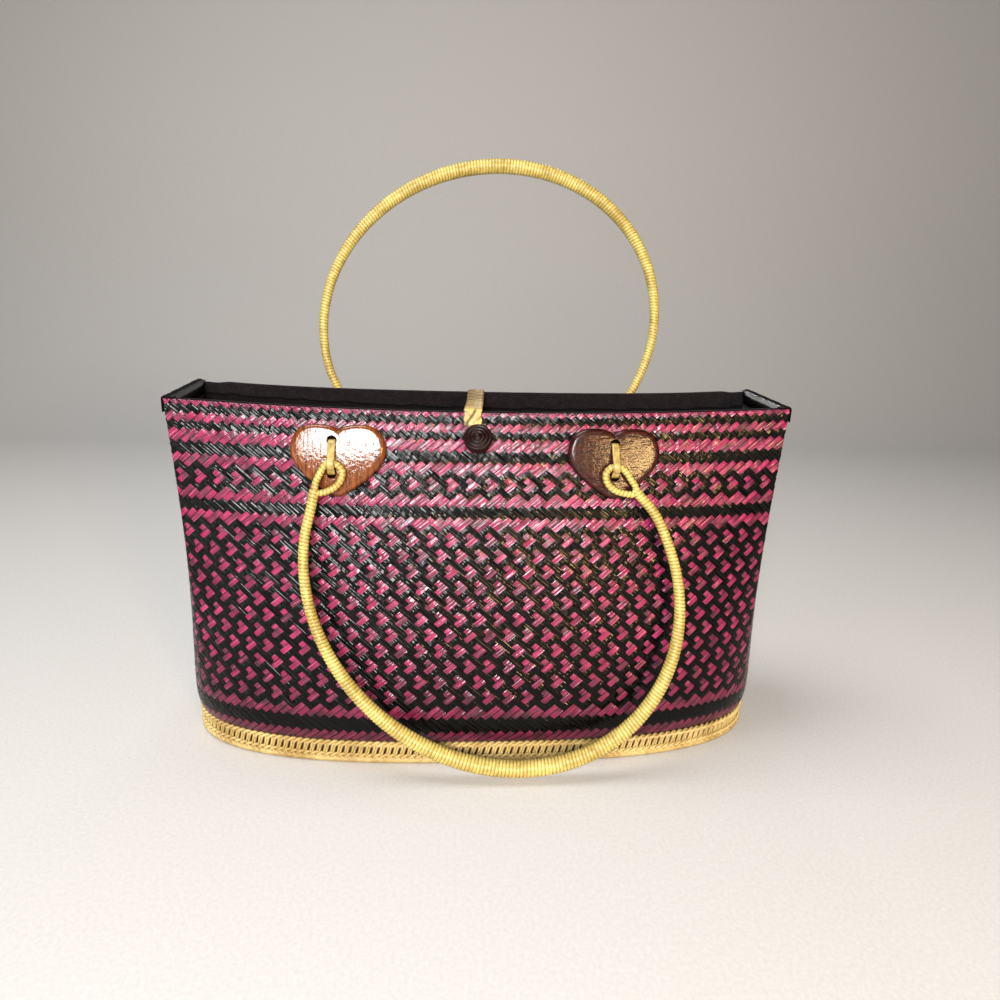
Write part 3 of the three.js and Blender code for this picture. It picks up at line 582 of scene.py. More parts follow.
blackCloth = clothMaterial()
lining = dict(columns=300, thickness=0.9, gap=1.5, rimGap=0.4, drawn=(8, 15), hem=6.1, hemDrift=1.2, hemWave=0.7,
              hemProud=1.6, hemEdge=0.2, plainX=(132, 139), proudX=(130, 138), proudY=(8, 14), lift=0.9, liftDepth=4,
              ripple=0.7, looseFrom=(3, 12), looseFoot=(4, 30), floor=3.3, footClear=0.4, stepHeight=11.5)


# inset of the lining's outer face: loose below, drawn up to the rim above
def liningInset(depth):
    slack = (lining["gap"] - lining["rimGap"]) * smoothstep(depth, *lining["drawn"])
    return body["thickness"] + lining["rimGap"] + slack


# a wave round the girth: the mean of sines, each given by its count and where it starts
def girthWave(shares, *sines):
    return sum(np.sin(2 * np.pi * (shares * count + start)) for count, start in sines) / len(sines)


def makeLining():
    thick = lining["thickness"]
    shares = np.arange(lining["columns"]) / lining["columns"]
    depths = np.concatenate([np.linspace(0, 13, 53), np.linspace(16, wallHeight * 0.97, 18)])
    wave = girthWave(shares, (23, 0.1), (37, 0.6), (61, 0.3))
    ripple = girthWave(shares, (17, 0.4), (29, 0.2), (53, 0.7))
    x, y, _ = wallPoint(shares, 1.0).T
    hemEdge = lining["hem"] + lining["hemDrift"] * np.tanh((x + 60) / 45) + lining["hemWave"] * wave
    # the hem stands over the back rim, and is left out under the tape
    proud = smoothstep(y, *lining["proudY"]) * (1 - smoothstep(abs(x), *lining["proudX"]))
    swell = lining["hemProud"] * (1 - smoothstep(abs(x), *lining["plainX"])) * (0.85 + 0.3 * wave)
    outside, inside, shade = [], [], []
    for depth in depths:
        rise = 1 - depth / wallHeight
        inHem = 1 - smoothstep(depth, hemEdge - lining["hemEdge"], hemEdge + lining["hemEdge"])
        # painted shade: dark in a line just under the hem's edge, half dark below it
        shade.append(inHem + 0.5 * smoothstep(depth, hemEdge + 0.8, hemEdge + 1.8))
        loose = smoothstep(depth, *lining["looseFrom"]) * smoothstep(wallHeight - depth, *lining["looseFoot"])
        inset = liningInset(depth) + loose * lining["ripple"] * (0.5 + 0.5 * ripple)
        lift = np.outer(lining["lift"] * proud * max(1 - depth / lining["liftDepth"], 0), zAxis)
        outside.append(wallPoint(shares, rise, inset) + lift)
        inside.append(wallPoint(shares, rise, inset + thick + swell * inHem) + lift)
    fold = (outside[0] + inside[0]) / 2 + np.outer(0.35 + 0.15 * proud, zAxis)
    footIn = body["ringWidth"] + lining["footClear"]
    for rows, more in ((outside, 0), (inside, thick)):
        edge = ringPoint(shares, lining["floor"] + more, footIn + more)
        rows += [ringPoint(shares, lining["stepHeight"], footIn + more), edge]
        rows += [edge * [s, s, 1] for s in (0.75, 0.5, 0.25, 0.0)]
    # painted shade: the floor and the outer face are fully dark
    shade += [0 * shares] * (len(inside) - len(shade))
    hem = np.array(shade[::-1] + [1 + 0 * shares] + [0 * shares] * len(outside))
    piece = roundPiece("cloth_lining", inside[::-1] + [fold] + outside, blackCloth, {"hem": hem})
    mergeDoubles(piece)
    return piece


liningPiece = makeLining()
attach(liningPiece, "bag")
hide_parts("lining")
print("lining made")


# Black vinyl tape: dull with handling, and glossy along its inner fold and down its inner leg
def vinylMaterial():
    material, add, shader = startMaterial("black vinyl tape")
    place = add("ShaderNodeTexCoord", out="Object")
    crease = add("ShaderNodeTexNoise", {"Vector": place, "Scale": 160.0, "Detail": 3.0})
    tone = add("ShaderNodeMix", {0: crease, 6: linear("#010101"), 7: linear("#050505")}, 2, data_type="RGBA")
    fold = add("ShaderNodeAttribute", out="Fac", attribute_name="fold")
    gloss = add("ShaderNodeMapRange", {0: fold, 1: 0.0, 2: 1.0, 3: 0.95, 4: 0.1})
    bump = add("ShaderNodeBump", {"Strength": 0.4, "Distance": 0.0005, "Height": crease})
    plug(shader, {"Base Color": tone, "Roughness": gloss, "Normal": bump, "Specular IOR Level": 0.12})
    return material


blackVinyl = vinylMaterial()
binding = dict(thickness=0.45, gap=0.05, drop=6.3, inner=4.9, length=64, stations=48, ends=0.006, legEnd=0.1,
               legRamp=0.02, legLift=0.35, legFrom=3, legDepth=20, legGloss=0.75, glossFrom=4.1, ruck=0.25,
               foldAt=3.25, foldWidth=0.2,
               crown=[(-0.3, 0.4), (0.3, 0.85), (1.2, 1.0), (2.2, 0.9), (3.0, 0.55), (3.2, 0.38), (3.4, 0.2),
                      (3.7, -0.1), (4.2, -0.9), (4.6, -1.9)])


# tape folded over a short rim: its section goes up the outer leg, over the crown and down the inner leg, then back
# inside; the inner leg stops short of the mouth's corners
def makeBinding(name, hand):
    start = np.array([hand * body["frontHalfWidth"], body["frontRimY"]])
    end = np.array([hand * body["backHalfWidth"], body["backRimY"]])
    along = unit(end - start)
    inward = np.array([-along[1], along[0]]) * hand
    t = np.linspace(binding["ends"], 1 - binding["ends"], binding["stations"])
    drop, deep, inner, near = binding["drop"], -binding["legDepth"], binding["inner"], -binding["gap"]
    outer, behind = near - binding["thickness"], inner - binding["thickness"]
    shown = smoothstep(np.minimum(t, 1 - t), binding["legEnd"] - binding["legRamp"], binding["legEnd"])
    leg = binding["legLift"] - drop * shown
    section = np.array([(outer, -drop), (outer, -3), (outer, -0.4), *binding["crown"], (inner, -3.4), (inner, deep),
                        (behind, deep), (behind, 0.2), (near, 0.2), (near, -drop)])
    across = section[None, :, 0] + 0 * t[:, None]
    height = np.where(across > binding["legFrom"], np.maximum(section[None, :, 1], leg[:, None]), section[None, :, 1])
    ruck = binding["ruck"] * np.sin(t * 41)[:, None] * np.sin(t * 17 + 1)[:, None]
    plan = start + (end - start) * t[:, None]
    points = plan[:, None] + inward * (across + 0.6 * ruck * (across < 0))[..., None]
    points = np.concatenate([points, (body["rimHeight"] + height + 0.5 * ruck * (height > 0.3))[..., None]], -1)
    fold = np.exp(-((across - binding["foldAt"]) / binding["foldWidth"]) ** 2)
    fold = np.maximum(fold, binding["legGloss"] * (across > binding["glossFrom"]))
    if hand < 0:
        points, fold = points[:, ::-1], fold[:, ::-1]
    return stripPiece(name, points[None], t * binding["length"], blackVinyl, {"fold": fold})


for name, hand in (("binding_left", -1), ("binding_right", 1)):
    piece = makeBinding("vinyl_" + name, hand)
    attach(piece, "bag")
    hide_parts(name)
print("bindings made")

# Handles: a skewed ellipse in a plane through the pivots, wound from end to end, with a wound eye at each end
handle = dict(endRadius=2.3, midRadius=4.1, taper=2.4, wrap=1.7, perWrap=6, sides=16, groove=0.42,
              eyeRadius=1.6, eyeTurns=24, eyeSides=12, fine=0.05, start=21, halfHeight=86, tieX=(-69.2, 60.3))
# each eye is a bent loop through points out from the tie and along the handle, and the hoop ends at its joint
eyes = [
    dict(outward=-1, joint=(7.1, 11.4), loop=[(0, 0), (-2.4, 0.25), (-5.0, 3.2), (-4.4, 7.4), (-1.6, 10.6), (3.0, 12.8),
                                              (6.6, 12.9), (6.8, 9.2), (4.8, 4.4), (2.2, 0.25)]),
    dict(outward=1, joint=(9.4, 11.0), loop=[(0, 0), (-2.4, 0.25), (-4.8, 3.4), (-4.0, 7.2), (-1.2, 10.2), (3.4, 11.9),
                                             (8.4, 12.2), (9.4, 9.6), (7.0, 5.6), (4.6, 2.2), (2.2, 0.25)]),
]
handleForms = [
    dict(name="front", joint="front_handle_swing", lean=11.5, reach=-1, middle=5.3, drop=56.3, halfWidth=86,
         skew=0.145),
    dict(name="back", joint="back_handle_swing", lean=17, reach=1, middle=6.5, drop=63, halfWidth=92, skew=0.08),
]


# a smooth line through points: cubic spans whose slopes come from each point's neighbours, at even spacing
def smoothLine(points, spacing, closed=False):
    if closed:
        points = np.vstack([points[-2:], points, points[:3]])
    gaps = np.sqrt(np.linalg.norm(np.diff(points, axis=0), axis=1))
    marks = np.concatenate([[0], np.cumsum(gaps)])
    slope = np.gradient(points, marks, axis=0)
    first, last = (2, len(points) - 3) if closed else (0, len(points) - 1)
    t = np.linspace(marks[first], marks[last], 6000)
    i = np.clip(np.searchsorted(marks, t, side="right") - 1, 0, len(points) - 2)
    h = (marks[i + 1] - marks[i])[:, None]
    s = ((t - marks[i]) / h[:, 0])[:, None]
    line = ((1 + 2 * s) * (1 - s) ** 2 * points[i] + s * (1 - s) ** 2 * h * slope[i]
            + s * s * (3 - 2 * s) * points[i + 1] + s * s * (s - 1) * h * slope[i + 1])
    run = np.concatenate([[0], np.cumsum(np.linalg.norm(np.diff(line, axis=0), axis=1))])
    count = max(int(run[-1] / spacing), 8)
    even = np.linspace(0, run[-1], count, endpoint=not closed)
    return np.stack([np.interp(even, run, line[:, c]) for c in range(3)], -1), even


# a wound tube in the XZ plane: its radius rises in a rounded rib for each turn of the winding, which runs as a helix
def woundTube(path, run, radius, wrap, sides, closed):
    if closed:
        ahead = unit(np.roll(path, -1, 0) - np.roll(path, 1, 0))
    else:
        ahead = unit(np.gradient(path, axis=0))
    over = np.array([0, 1.0, 0])
    side = np.cross(over, ahead)
    angle = roundAngles(sides)
    phase = run[:, None] / wrap + angle[None] / (2 * np.pi)
    rib = (1 - (2 * (phase - np.floor(phase)) - 1) ** 2) ** 0.6
    r = radius[:, None] - handle["groove"] * (1 - rib) * np.minimum(radius[:, None] / 3, 1)
    points = path[:, None] + r[..., None] * (np.cos(angle)[:, None] * side[:, None] + np.sin(angle)[:, None] * over)
    return points, rib


def makeHandle(form):
    pivot = pivotOf(form["joint"])
    reach, drop = form["reach"], form["drop"]
    begin = math.asin((handle["start"] - drop) / handle["halfHeight"])
    angle = np.linspace(math.pi - begin, begin, 29)
    fall = drop + handle["halfHeight"] * np.sin(angle)
    x = form["middle"] + form["halfWidth"] * np.cos(angle) + form["skew"] * (fall - drop)
    hoop = np.stack([x, 0 * x, reach * fall], -1)
    ends = [[hangX + eye["outward"] * eye["joint"][0], 0, reach * eye["joint"][1]]
            for hangX, eye in zip(handle["tieX"], eyes)]
    path, run = smoothLine(np.vstack([ends[:1], hoop, ends[1:]]), handle["wrap"] / handle["perWrap"])
    swell = np.sin(np.pi * run / run[-1]) ** handle["taper"]
    radius = handle["endRadius"] + (handle["midRadius"] - handle["endRadius"]) * swell
    turn = np.array(Matrix.Rotation(-math.radians(form["lean"]), 3, "X"))
    parts = [(path, run, radius, handle["wrap"], handle["sides"], False)]
    for hangX, eye in zip(handle["tieX"], eyes):
        bends = np.array(eye["loop"])
        loop = np.stack([hangX + eye["outward"] * bends[:, 0], 0 * bends[:, 0], reach * bends[:, 1]], -1)
        fine, even = smoothLine(loop, handle["fine"], True)
        length = even[-1] + handle["fine"]
        eyePath, eyeRun = smoothLine(fine[::8], length / (handle["eyeTurns"] * handle["perWrap"]), True)
        wrap = (eyeRun[-1] + eyeRun[1]) / handle["eyeTurns"]
        parts.append((eyePath, eyeRun, np.full(len(eyeRun), handle["eyeRadius"]), wrap, handle["eyeSides"], True))
    names = [f"wound_handle_{form['name']}", f"wound_eye_{form['name']}_left", f"wound_eye_{form['name']}_right"]
    made = []
    for name, (line, even, size, wrap, sides, closed) in zip(names, parts):
        points, rib = woundTube(line, even, size, wrap, sides, closed)
        placed = points @ turn.T + [0, pivot[1], pivot[2]]
        # painted shade: the rib darkens the cane in the grooves between turns
        made.append(stripPiece(name, placed[None], even, woundCane, {"crest": rib}, closeAlong=closed))
    return made


for form in handleForms:
    pieces = makeHandle(form)
    for piece in pieces:
        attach(piece, form["name"] + "_handle")
    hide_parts("handle_" + form["name"])
print("handles made")


# Brown hardwood under clear lacquer: streaked grain with dark pores, and a hard gloss that the grain breaks up
def heartMaterial(name, dark, light, grainTurn, pore, bumpiness, coat):
    material, add, shader = startMaterial(name)
    uv = add("ShaderNodeUVMap", uv_map="UVMap")
    turned = add("ShaderNodeMapping", {"Vector": uv, "Rotation": (0, 0, grainTurn)})
    drawn = add("ShaderNodeMapping", {"Vector": turned, "Scale": (0.55, 0.05, 1.0)})  # long in the grain
    grain = add("ShaderNodeTexNoise", {"Vector": drawn, "Scale": 1.6, "Detail": 5.0, "Roughness": 0.65})
    pores = add("ShaderNodeTexNoise", {"Vector": drawn, "Scale": 3.4, "Detail": 2.0})
    waves = add("ShaderNodeTexNoise", {"Vector": uv, "Scale": 0.45, "Detail": 3.0})  # ripples of 2 mm
    tone = add("ShaderNodeMapRange", {0: grain, 1: 0.36, 2: 0.64, 3: 0.0, 4: 1.0})
    mix = add("ShaderNodeMix", {0: tone, 6: linear(dark), 7: linear(light)}, 2, data_type="RGBA")
    dash = add("ShaderNodeMapRange", {0: pores, 1: pore, 2: pore + 0.05, 3: 0.0, 4: 1.0})
    colour = add("ShaderNodeMix", {0: dash, 6: mix, 7: linear("#160502")}, 2, data_type="RGBA")
    rough = add("ShaderNodeMath", {0: waves, 1: grain}, operation="ADD")
    relief = add("ShaderNodeMath", {0: rough, 1: dash}, operation="SUBTRACT")
    bump = add("ShaderNodeBump", {"Strength": bumpiness, "Distance": 0.0003, "Height": relief})
    plug(shader, {"Base Color": colour, "Normal": bump, "Coat Normal": bump, "Roughness": 0.45,
                  "Specular IOR Level": 0.1, "Coat Weight": coat, "Coat Roughness": 0.07})
    return material


leftHeart = heartMaterial("lacquered brown wood", "#3E1605", "#86460C", 0.0, 0.62, 0.28, 0.9)
rightHeart = heartMaterial("lacquered dark brown wood", "#140301", "#421305", 1.45, 0.6, 0.3, 0.5)


# Wood inside the drilled holes: nearly black and dull, painted shade of the hole
holeShade = plainMaterial("wood in the holes with painted shade", "#080302", "#1E0B05", 800.0, 2.0, 0.9, 0.05)
heart = dict(width=43.2, thickness=4, top=17.8, notch=15.2, tip=-14.9, lobe=10.2, widest=6.5, tipHalf=1.4, round=2.3,
             crown=0.25, bevel=0.7, underside=6.0, holeRadius=2.3, holeUpper=10.5, holeLower=-4.5, holeSides=20,
             holeFloor=0.5, holeOver=4.0, centre=3.0, sharp=50)


# the outline is three cubic curves from notch to tip, mirrored; t runs 0 to 1 on each curve
def heartOutline(steps=14):
    h = heart["width"] / 2
    curves = [
        [(0, heart["notch"]), (2, heart["top"] - 0.6), (6, heart["top"]), (heart["lobe"], heart["top"])],
        [(heart["lobe"], heart["top"]), (17.5, heart["top"]), (h, 13), (h, heart["widest"])],
        [(h, heart["widest"]), (h, -3.5), (7.5, -11.5), (heart["tipHalf"], heart["tip"])],
    ]
    t = np.linspace(0, 1, steps, endpoint=False)[:, None]
    right = np.vstack([(1 - t) ** 3 * np.array(a) + 3 * t * (1 - t) ** 2 * np.array(b)
                       + 3 * t * t * (1 - t) * np.array(c) + t ** 3 * np.array(d) for a, b, c, d in curves]
                      + [np.array([curves[2][3]])])
    left = right[1:][::-1] * [-1, 1]
    return np.vstack([right, left])[::-1]


# the CAD heart's own axes: its thinnest direction is out of the wall
def heartAxes(node, side):
    count = len(node.data.vertices)
    co = np.empty(count * 3)
    node.data.vertices.foreach_get("co", co)
    co = np.unique(np.round(co.reshape(-1, 3) / mm, 4), axis=0)
    middle = (co.max(0) + co.min(0)) / 2
    out = np.linalg.svd(co - co.mean(0), full_matrices=False)[2][2]
    out = out * np.sign(out[1] * side)
    along = unit(np.cross(zAxis, out))
    up = np.cross(out, along)
    local = (co - middle) @ np.stack([along, up, out], 1)
    low, high = local.min(0), local.max(0)
    origin = middle + along * (low[0] + high[0]) / 2 + up * (high[1] - heart["top"]) + out * low[2]
    return origin, along, up, out


# loops round the outline, from the underside over the rounded edge to the crown, then two holes cut through
def makeHeart(name, material, side, tieX):
    origin, along, up, out = heartAxes(frame["nodes"][name], side)
    axes = np.stack([along, up, out])
    outline = heartOutline()
    centre = np.array([0, heart["centre"]])
    arc = np.linspace(0, math.pi / 2, 6)
    r, thick, bevel = heart["round"], heart["thickness"], heart["bevel"]
    rings = [(heart["underside"], 0.0), (bevel, 0.0), (0.0, bevel)]
    rings += [(r * (1 - math.cos(a)), thick - r + r * math.sin(a)) for a in arc]
    size = np.linalg.norm(outline - centre, axis=1, keepdims=True)
    plans = [(outline - (outline - centre) / size * inset, height) for inset, height in rings]
    inner = plans[-1][0]
    plans += [(centre + (inner - centre) * share, thick + heart["crown"] * (1 - share ** 2))
              for share in (0.9, 0.75, 0.5, 0.25)]
    local = np.array([np.column_stack([plan, np.full(len(plan), height)]) for plan, height in plans])
    faces, _ = gridFaces(1, *local.shape[:2], capped=True)
    flat = local.reshape(-1, 3)
    corners = [flat[f, :2] for f in faces]
    piece = makePiece("wood_" + name, origin + flat @ axes, faces, material, corners)
    offset = (tieX - origin[0]) / along[0]
    sides = heart["holeSides"]
    circle = heart["holeRadius"] * np.stack([np.cos(roundAngles(sides)), np.sin(roundAngles(sides))], -1)
    for level in (heart["holeUpper"], heart["holeLower"]):
        tube = np.vstack([np.column_stack([circle + [offset, level], np.full(sides, z)])
                          for z in (heart["holeFloor"], thick + heart["holeOver"])])
        cutFaces, _ = gridFaces(1, 2, sides, capped=True)
        cutter = makePiece("hole", origin + tube @ axes, cutFaces, holeShade)
        cut = piece.modifiers.new("hole", "BOOLEAN")
        cut.operation, cut.solver, cut.object, cut.material_mode = "DIFFERENCE", "EXACT", cutter, "TRANSFER"
        cutMesh = bpy.data.meshes.new_from_object(piece.evaluated_get(bpy.context.evaluated_depsgraph_get()))
        piece.modifiers.clear()
        piece.data = cutMesh
        bpy.data.objects.remove(cutter)
    piece.data.set_sharp_from_angle(angle=math.radians(heart["sharp"]))
    return piece, up


tie = dict(width=3.6, thickness=0.8, behind=-2.7, front=5.2, upper=10.5, lower=-4.5, proud=7.7, arch=2.45,
           archStart=65, archEnd=-90, turnIn=1.2, spacing=0.7, sides=10)


# a smooth closed line in a plane, its run in mm and the direction square to it
def flatLoop(points, spacing):
    path, run = smoothLine(np.column_stack([points, 0 * points[:, 0]]), spacing, True)
    ahead = unit(np.roll(path, -1, 0) - np.roll(path, 1, 0))
    return path[:, None, :2], run, np.column_stack([ahead[:, 1], -ahead[:, 0]])[:, None]


# flat cane loop through the heart: in at the upper hole, behind the wall and out over the handle's eye
def makeTie(name, up, side, tieX):
    out = np.array([0, up[2], -up[1]]) * side / math.hypot(up[1], up[2])
    rise = np.cross(xAxis, out) * side
    pivot = np.array([tieX, *pivotOf(name.split("_")[1] + "_handle_swing")[1:]])
    face = pivot - out * tie["proud"]
    angle = np.radians(np.linspace(tie["archStart"], tie["archEnd"], 9))
    arch = np.stack([tie["proud"] + tie["arch"] * np.cos(angle), tie["arch"] * np.sin(angle)], -1)
    behind, front, upper, lower, turnIn = (tie[key] for key in ("behind", "front", "upper", "lower", "turnIn"))
    loop = np.vstack([[behind, lower], [behind, 3], [behind, upper - 0.6], [behind + turnIn, upper],
                      [front - turnIn, upper], [front, upper - 0.8], arch, [front, lower], [behind + turnIn, lower]])
    path, run, aside = flatLoop(loop, tie["spacing"])
    turn = roundAngles(tie["sides"])
    wide = tie["width"] / 2 * np.sign(np.cos(turn)) * abs(np.cos(turn)) ** 0.5
    thick = tie["thickness"] / 2 * np.sin(turn)
    plan = path + aside * thick[:, None]
    points = face + plan[..., 0, None] * out + plan[..., 1, None] * rise + wide[:, None] * xAxis
    # painted shade: the tie darkens towards its edges, where it turns away
    crest = np.tile(0.35 + 0.65 * (1 - abs(np.cos(turn)) ** 6), (len(run), 1))
    if side > 0:
        points = points[:, ::-1]
    return stripPiece("cane_" + name, points[None], run, flatCane, {"crest": crest}, closeAlong=True)


for face, side in (("front", -1), ("back", 1)):
    for hand, tieX, material in (("left", handle["tieX"][0], leftHeart), ("right", handle["tieX"][1], rightHeart)):
        piece, up = makeHeart(f"heart_{face}_{hand}", material, side, tieX)
        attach(piece, "bag")
        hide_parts(f"heart_{face}_{hand}")
        piece = makeTie(f"tie_{face}_{hand}", up, side, tieX)
        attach(piece, "bag")
        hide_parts(f"tie_{face}_{hand}")
print("hearts and ties made")


# Dark hardwood, turned and waxed: red-brown, almost black in the cut rings
turnedWood = plainMaterial("dark turned wood", "#0A0203", "#220B07", 500.0, 4.0, 0.34, 0.18, 0.3)
closure = dict(x=-3.5, strapWidth=8, strapThickness=1.5, clear=0.4, tail=134, sag=1.2, endDrop=5.6, backLevel=154,
               shoulder=0.8, rimDrop=1, crown=0.4, crownIn=3.8, slant=0.06, shift=-0.2, spacing=0.45,
               loopDrop=11.0, loopShift=-0.4, loopHalfWidth=3.9, loopHalfLength=5.4, loopPower=2.4, loopBand=2.4,
               loopSpacing=0.4, loopSides=10, buttonHeight=151.6, tilt=38, standOff=1.4, buttonSides=48,
               plaitStep=5.2, relief=0.55, slitStart=7.5, slitAt=0.35, slitDrift=0.16, slitWidth=0.13, columns=27,
               backShade=(12, 45))
buttonProfile = [(0, 0), (2.0, 0), (2.0, 3.0), (2.5, 3.25), (3.4, 3.45), (4.2, 3.75), (4.9, 4.25), (5.4, 4.95),
                 (5.8, 5.8), (6.1, 6.8), (6.35, 7.9), (6.5, 8.9), (6.6, 9.9), (6.6, 10.5), (6.45, 10.9), (6.1, 11.25),
                 (5.7, 11.35), (5.35, 11.2), (5.1, 11.0), (4.85, 11.15), (4.5, 11.55), (4.1, 11.65), (3.75, 11.5),
                 (3.5, 11.25), (3.25, 11.4), (2.9, 11.8), (2.5, 11.9), (2.15, 11.7), (1.9, 11.5), (1.65, 11.7),
                 (1.3, 12.1), (0.8, 12.35), (0, 12.4)]


# a lathe turned about the button's own axis, which leans up out of the wall
def makeButton():
    tilt = math.radians(closure["tilt"])
    axis = np.array([0, -math.cos(tilt), math.sin(tilt)])
    up = -np.cross(xAxis, axis)
    base = facePoint(-1, closure["x"], closure["buttonHeight"]) + axis * closure["standOff"]
    angle = roundAngles(closure["buttonSides"])
    radius, height = np.array(buttonProfile).T
    spoke = np.cos(angle)[:, None] * xAxis + np.sin(angle)[:, None] * up
    points = base + height[:, None, None] * axis + radius[:, None, None] * spoke
    piece = roundPiece("turned_button", points, turnedWood)
    mergeDoubles(piece)
    return piece


button = makeButton()
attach(button, "bag")
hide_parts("button")


# Plaited straw braid: pale gold, with painted shade as a dark edge on each strand where it dives under the next
plaitStraw = caneMaterial("plaited gold straw", "#241405", "#94702F", "#CDB670", 0.45)
strapHalf = closure["strapThickness"] / 2
strapOff = closure["clear"] + strapHalf
frontTop, backTop = wallPoint(0.0, 1.0), wallPoint(0.5, 1.0)


# the strap's line, a little slanted: up the back, over both rims and a little down the front
def strapLine():
    x, off, shoulder, crownIn = closure["x"], strapOff, closure["shoulder"], closure["crownIn"]
    backFoot, backMid = (facePoint(1, x, closure[key]) for key in ("tail", "backLevel"))
    frontFoot = facePoint(-1, x, frontTop[2] - closure["endDrop"])
    (_, backY, backZ), (_, frontY, frontZ) = backTop, frontTop
    route = [
        (backFoot[1] + off, backFoot[2]), (backMid[1] + off, backMid[2]), (backY + off, backZ - closure["rimDrop"]),
        (backY + off - shoulder, backZ + off), (backY - crownIn, backZ + off + closure["crown"]),
        ((backY + frontY) / 2, (backZ + frontZ) / 2 + off - closure["sag"]),
        (frontY + crownIn, frontZ + off + closure["crown"]), (frontY - off + shoulder, frontZ + off),
        (frontY - off, frontZ - closure["rimDrop"]), (frontFoot[1] - off, frontFoot[2]),
    ]
    return np.array([(x + closure["shift"] + closure["slant"] * y, y, z) for y, z in route])


# plait: strands cross on the slant, so relief at (along s, across w) is a row of chevrons that meet in the middle
def plaitRelief(s, w):
    phase = s / closure["plaitStep"] + abs(w) * 0.6 + 0.5 * (w > 0)
    part = phase - np.floor(phase)
    return (1 - abs(2 * part - 1) ** 2.5) ** 0.6


def makeStrap():
    path, run = smoothLine(strapLine(), closure["spacing"])
    out = -np.cross(xAxis, unit(np.gradient(path, axis=0)))[:, None]
    w = np.linspace(-1, 1, closure["columns"])
    # painted shade: the relief also darkens the notches, most at the strap's edges, and the slit
    relief = 1 - (1 - plaitRelief(run[:, None], w[None])) * (0.45 + 0.55 * abs(w))
    left = (run[-1] - run)[:, None]  # mm of strap still to come; its two legs part at a slit before the button
    slitPlace = closure["slitAt"] - closure["slitDrift"] * (closure["slitStart"] - left)
    slit = np.exp(-((w[None] - slitPlace) / closure["slitWidth"]) ** 2)
    relief = relief * (1 - slit * (1 - smoothstep(left, closure["slitStart"] - 1, closure["slitStart"])))
    edge = closure["strapWidth"] / 2 + 0.25 * np.sin(2 * np.pi * run / closure["plaitStep"])
    aside = (edge[:, None] * w)[..., None] * xAxis
    top = strapHalf * (1 - 0.5 * abs(w) ** 6) - closure["relief"] * (1 - relief)
    upper = path[:, None] + aside + top[..., None] * out
    lower = path[:, None] + aside[:, ::-1] - strapHalf * 0.9 * out
    # painted shade: the strap is browner towards the back and brighter near the button
    backShade = 0.5 + 0.5 * (1 - smoothstep(left, *closure["backShade"]))  # browner towards the back
    crest = np.concatenate([relief * backShade, 0.5 + 0 * relief], 1)
    across = np.concatenate([(w + 1) / 2, (w[::-1] + 1) / 2, [0]])
    points = np.concatenate([upper, lower], 1)
    return stripPiece("plaited_strap", points[None], run, plaitStraw, {"crest": crest}, across)


# buttonhole loop: a flat plait round the button's neck
def makeStrapLoop():
    x, drop = closure["x"], closure["loopDrop"]
    above, middle, below = (facePoint(-1, x, frontTop[2] - fall) for fall in (0.2, drop, 2 * drop))
    rise = unit((above - below) * [0, 1, 1])
    face = np.cross(rise, xAxis)
    face = face * np.sign(-face[1])
    outline = superellipse(closure["loopHalfWidth"], closure["loopHalfLength"], closure["loopPower"], 40)
    path, run, aside = flatLoop(outline, closure["loopSpacing"])
    turn = roundAngles(closure["loopSides"])
    wide = closure["loopBand"] / 2 * np.sign(np.cos(turn)) * abs(np.cos(turn)) ** 0.6
    deep = strapHalf * np.sin(turn)
    # painted shade: the ridge darkens the plait's notches
    ridge = plaitRelief(run[:, None], np.cos(turn)[None])
    plan = path + aside * wide[:, None]
    depth = deep[None] - closure["relief"] * (1 - ridge) * (deep[None] > 0)
    centre = middle + face * strapOff + closure["loopShift"] * xAxis
    points = centre + plan[..., 0, None] * xAxis + plan[..., 1, None] * rise + depth[..., None] * face
    return stripPiece("strap_loop", points[None], run, plaitStraw, {"crest": ridge}, closeAlong=True)


strapPiece, loopPiece = makeStrap(), makeStrapLoop()
for piece in (strapPiece, loopPiece):
    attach(piece, "bag")
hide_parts("strap")
print("closure made")


# Pale cloth over the stage: matt, with a faint mottle
paleCloth = plainMaterial("pale table cloth", "#B9B7B5", "#CECCCA", 600.0, 2.0, 0.9)
stage = dict(half=3000, bend=700, radius=500, top=3000)


# the stage: a plain pale floor that turns up in a quarter round into a backdrop
def makeStage():
    half, bend, radius = stage["half"], stage["bend"], stage["radius"]
    x = np.linspace(-half, half, 3)
    angle = np.linspace(0.1, math.pi / 2, 12)
    run = np.concatenate([[-half, bend], bend + radius * np.sin(angle), [bend + radius]])
    rise = np.concatenate([[0, 0], radius * (1 - np.cos(angle)), [stage["top"]]])
    points = np.stack(matched(x[None], run[:, None], rise[:, None]), -1)
    faces, _ = gridFaces(1, len(run), len(x), closeAcross=False)
    floor = makePiece("stage_floor", points.reshape(-1, 3), faces, paleCloth)


# links a camera or light into the scene, at a place in mm and with its own three axes
def stand(thing, right, up, back, place):
    bpy.context.scene.collection.objects.link(thing)
    turn = np.eye(4)
    turn[:3] = np.column_stack([right, up, back, np.array(place) * mm])
    thing.matrix_world = Matrix(turn.tolist())


# the focal length is in pixels of the picture
camera = dict(place=(-16.1, -374.2, 224.9), yaw=4.02, pitch=15.99, roll=1.63, focal=751.0, picture=1000, sensor=36)


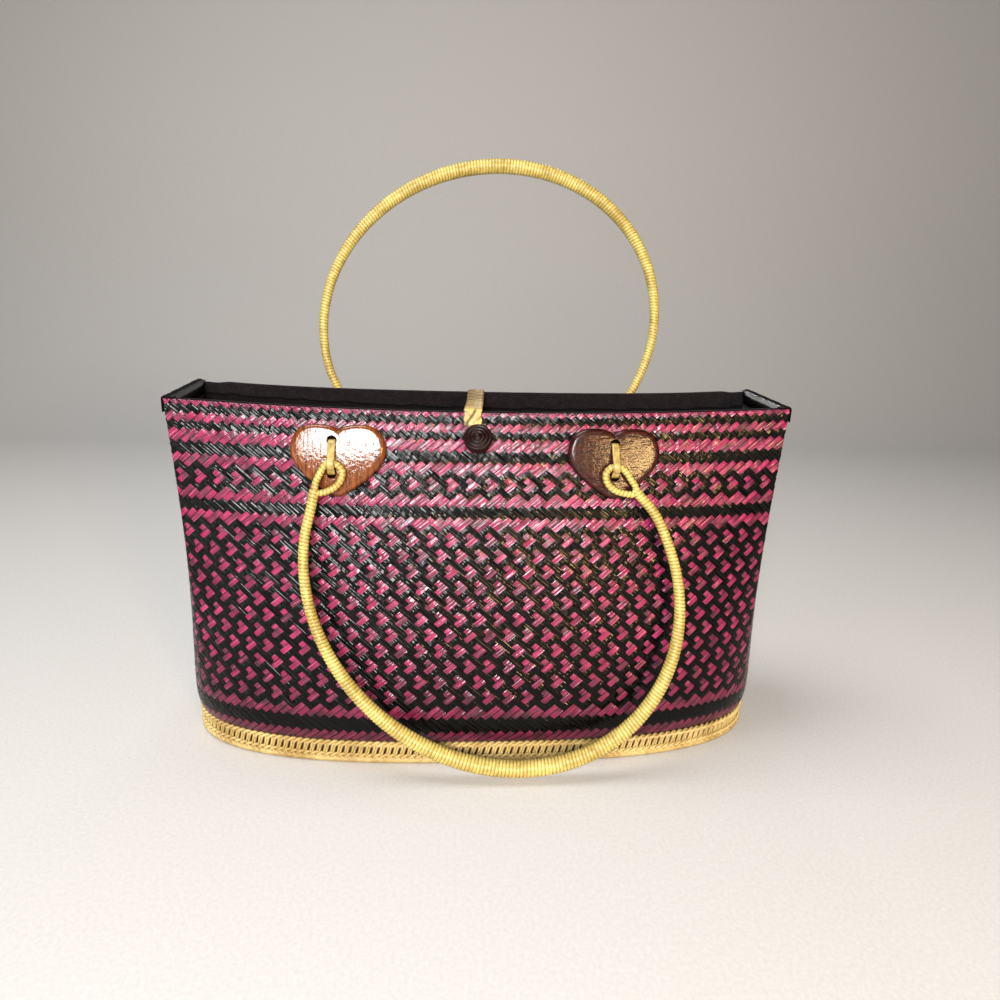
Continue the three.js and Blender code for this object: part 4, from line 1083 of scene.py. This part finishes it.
def makeCamera():
    yaw, pitch, roll = (math.radians(camera[key]) for key in ("yaw", "pitch", "roll"))
    ahead = np.array([math.sin(yaw) * math.cos(pitch), math.cos(yaw) * math.cos(pitch), -math.sin(pitch)])
    right = np.array([math.cos(yaw), -math.sin(yaw), 0])
    up = np.cross(right, ahead)
    right, up = math.cos(roll) * right + math.sin(roll) * up, -math.sin(roll) * right + math.cos(roll) * up
    data = bpy.data.cameras.new("camera")
    data.sensor_width = camera["sensor"]
    data.lens = camera["sensor"] * camera["focal"] / camera["picture"]
    data.clip_start = 0.01
    data.clip_end = 50
    view = bpy.data.objects.new("camera", data)
    stand(view, right, up, -ahead, camera["place"])
    bpy.context.scene.camera = view


# soft boxes: place and aim in mm, edge in mm, watts
lights = [
    dict(name="key", place=(-170, -1000, 495), aim=(0, 0, 120), edge=340, power=17, colour="#FFFFFF"),
    dict(name="top", place=(-300, 40, 1150), aim=(0, 0, 60), edge=600, power=9, colour="#FFFFFF"),
    dict(name="fill", place=(800, -700, 420), aim=(0, 0, 90), edge=500, power=0.6, colour="#FFF2E4"),
    dict(name="side", place=(-850, -800, 170), aim=(-100, 0, 100), edge=400, power=2.5, colour="#E2EEEA"),
    dict(name="lamp", place=(405, -1000, 325), aim=(60, -40, 150), edge=150, power=5.5, colour="#FFD28C"),
    dict(name="rear", place=(125, 700, 447), aim=(148, -15, 172), edge=60, power=0.4, colour="#FFFFFF"),
]


def makeLights():
    for item in lights:
        data = bpy.data.lights.new(item["name"], "AREA")
        data.shape, data.size, data.energy = "SQUARE", item["edge"] * mm, item["power"]
        data.color = linear(item["colour"])[:3]
        lamp = bpy.data.objects.new(item["name"], data)
        lamp.visible_camera = False
        back = unit(np.array(item["place"], float) - np.array(item["aim"], float))
        right = unit(np.cross(zAxis, back))
        stand(lamp, right, np.cross(back, right), back, item["place"])
    world = bpy.data.worlds.new("studio")
    world.use_nodes = True
    plug(world.node_tree.nodes["Background"], {0: linear("#F2F2F4"), 1: 0.1})
    bpy.context.scene.world = world
    bpy.context.scene.view_settings.view_transform = "Standard"


makeStage()
makeCamera()
makeLights()
bpy.context.view_layer.update()
print("scene made")
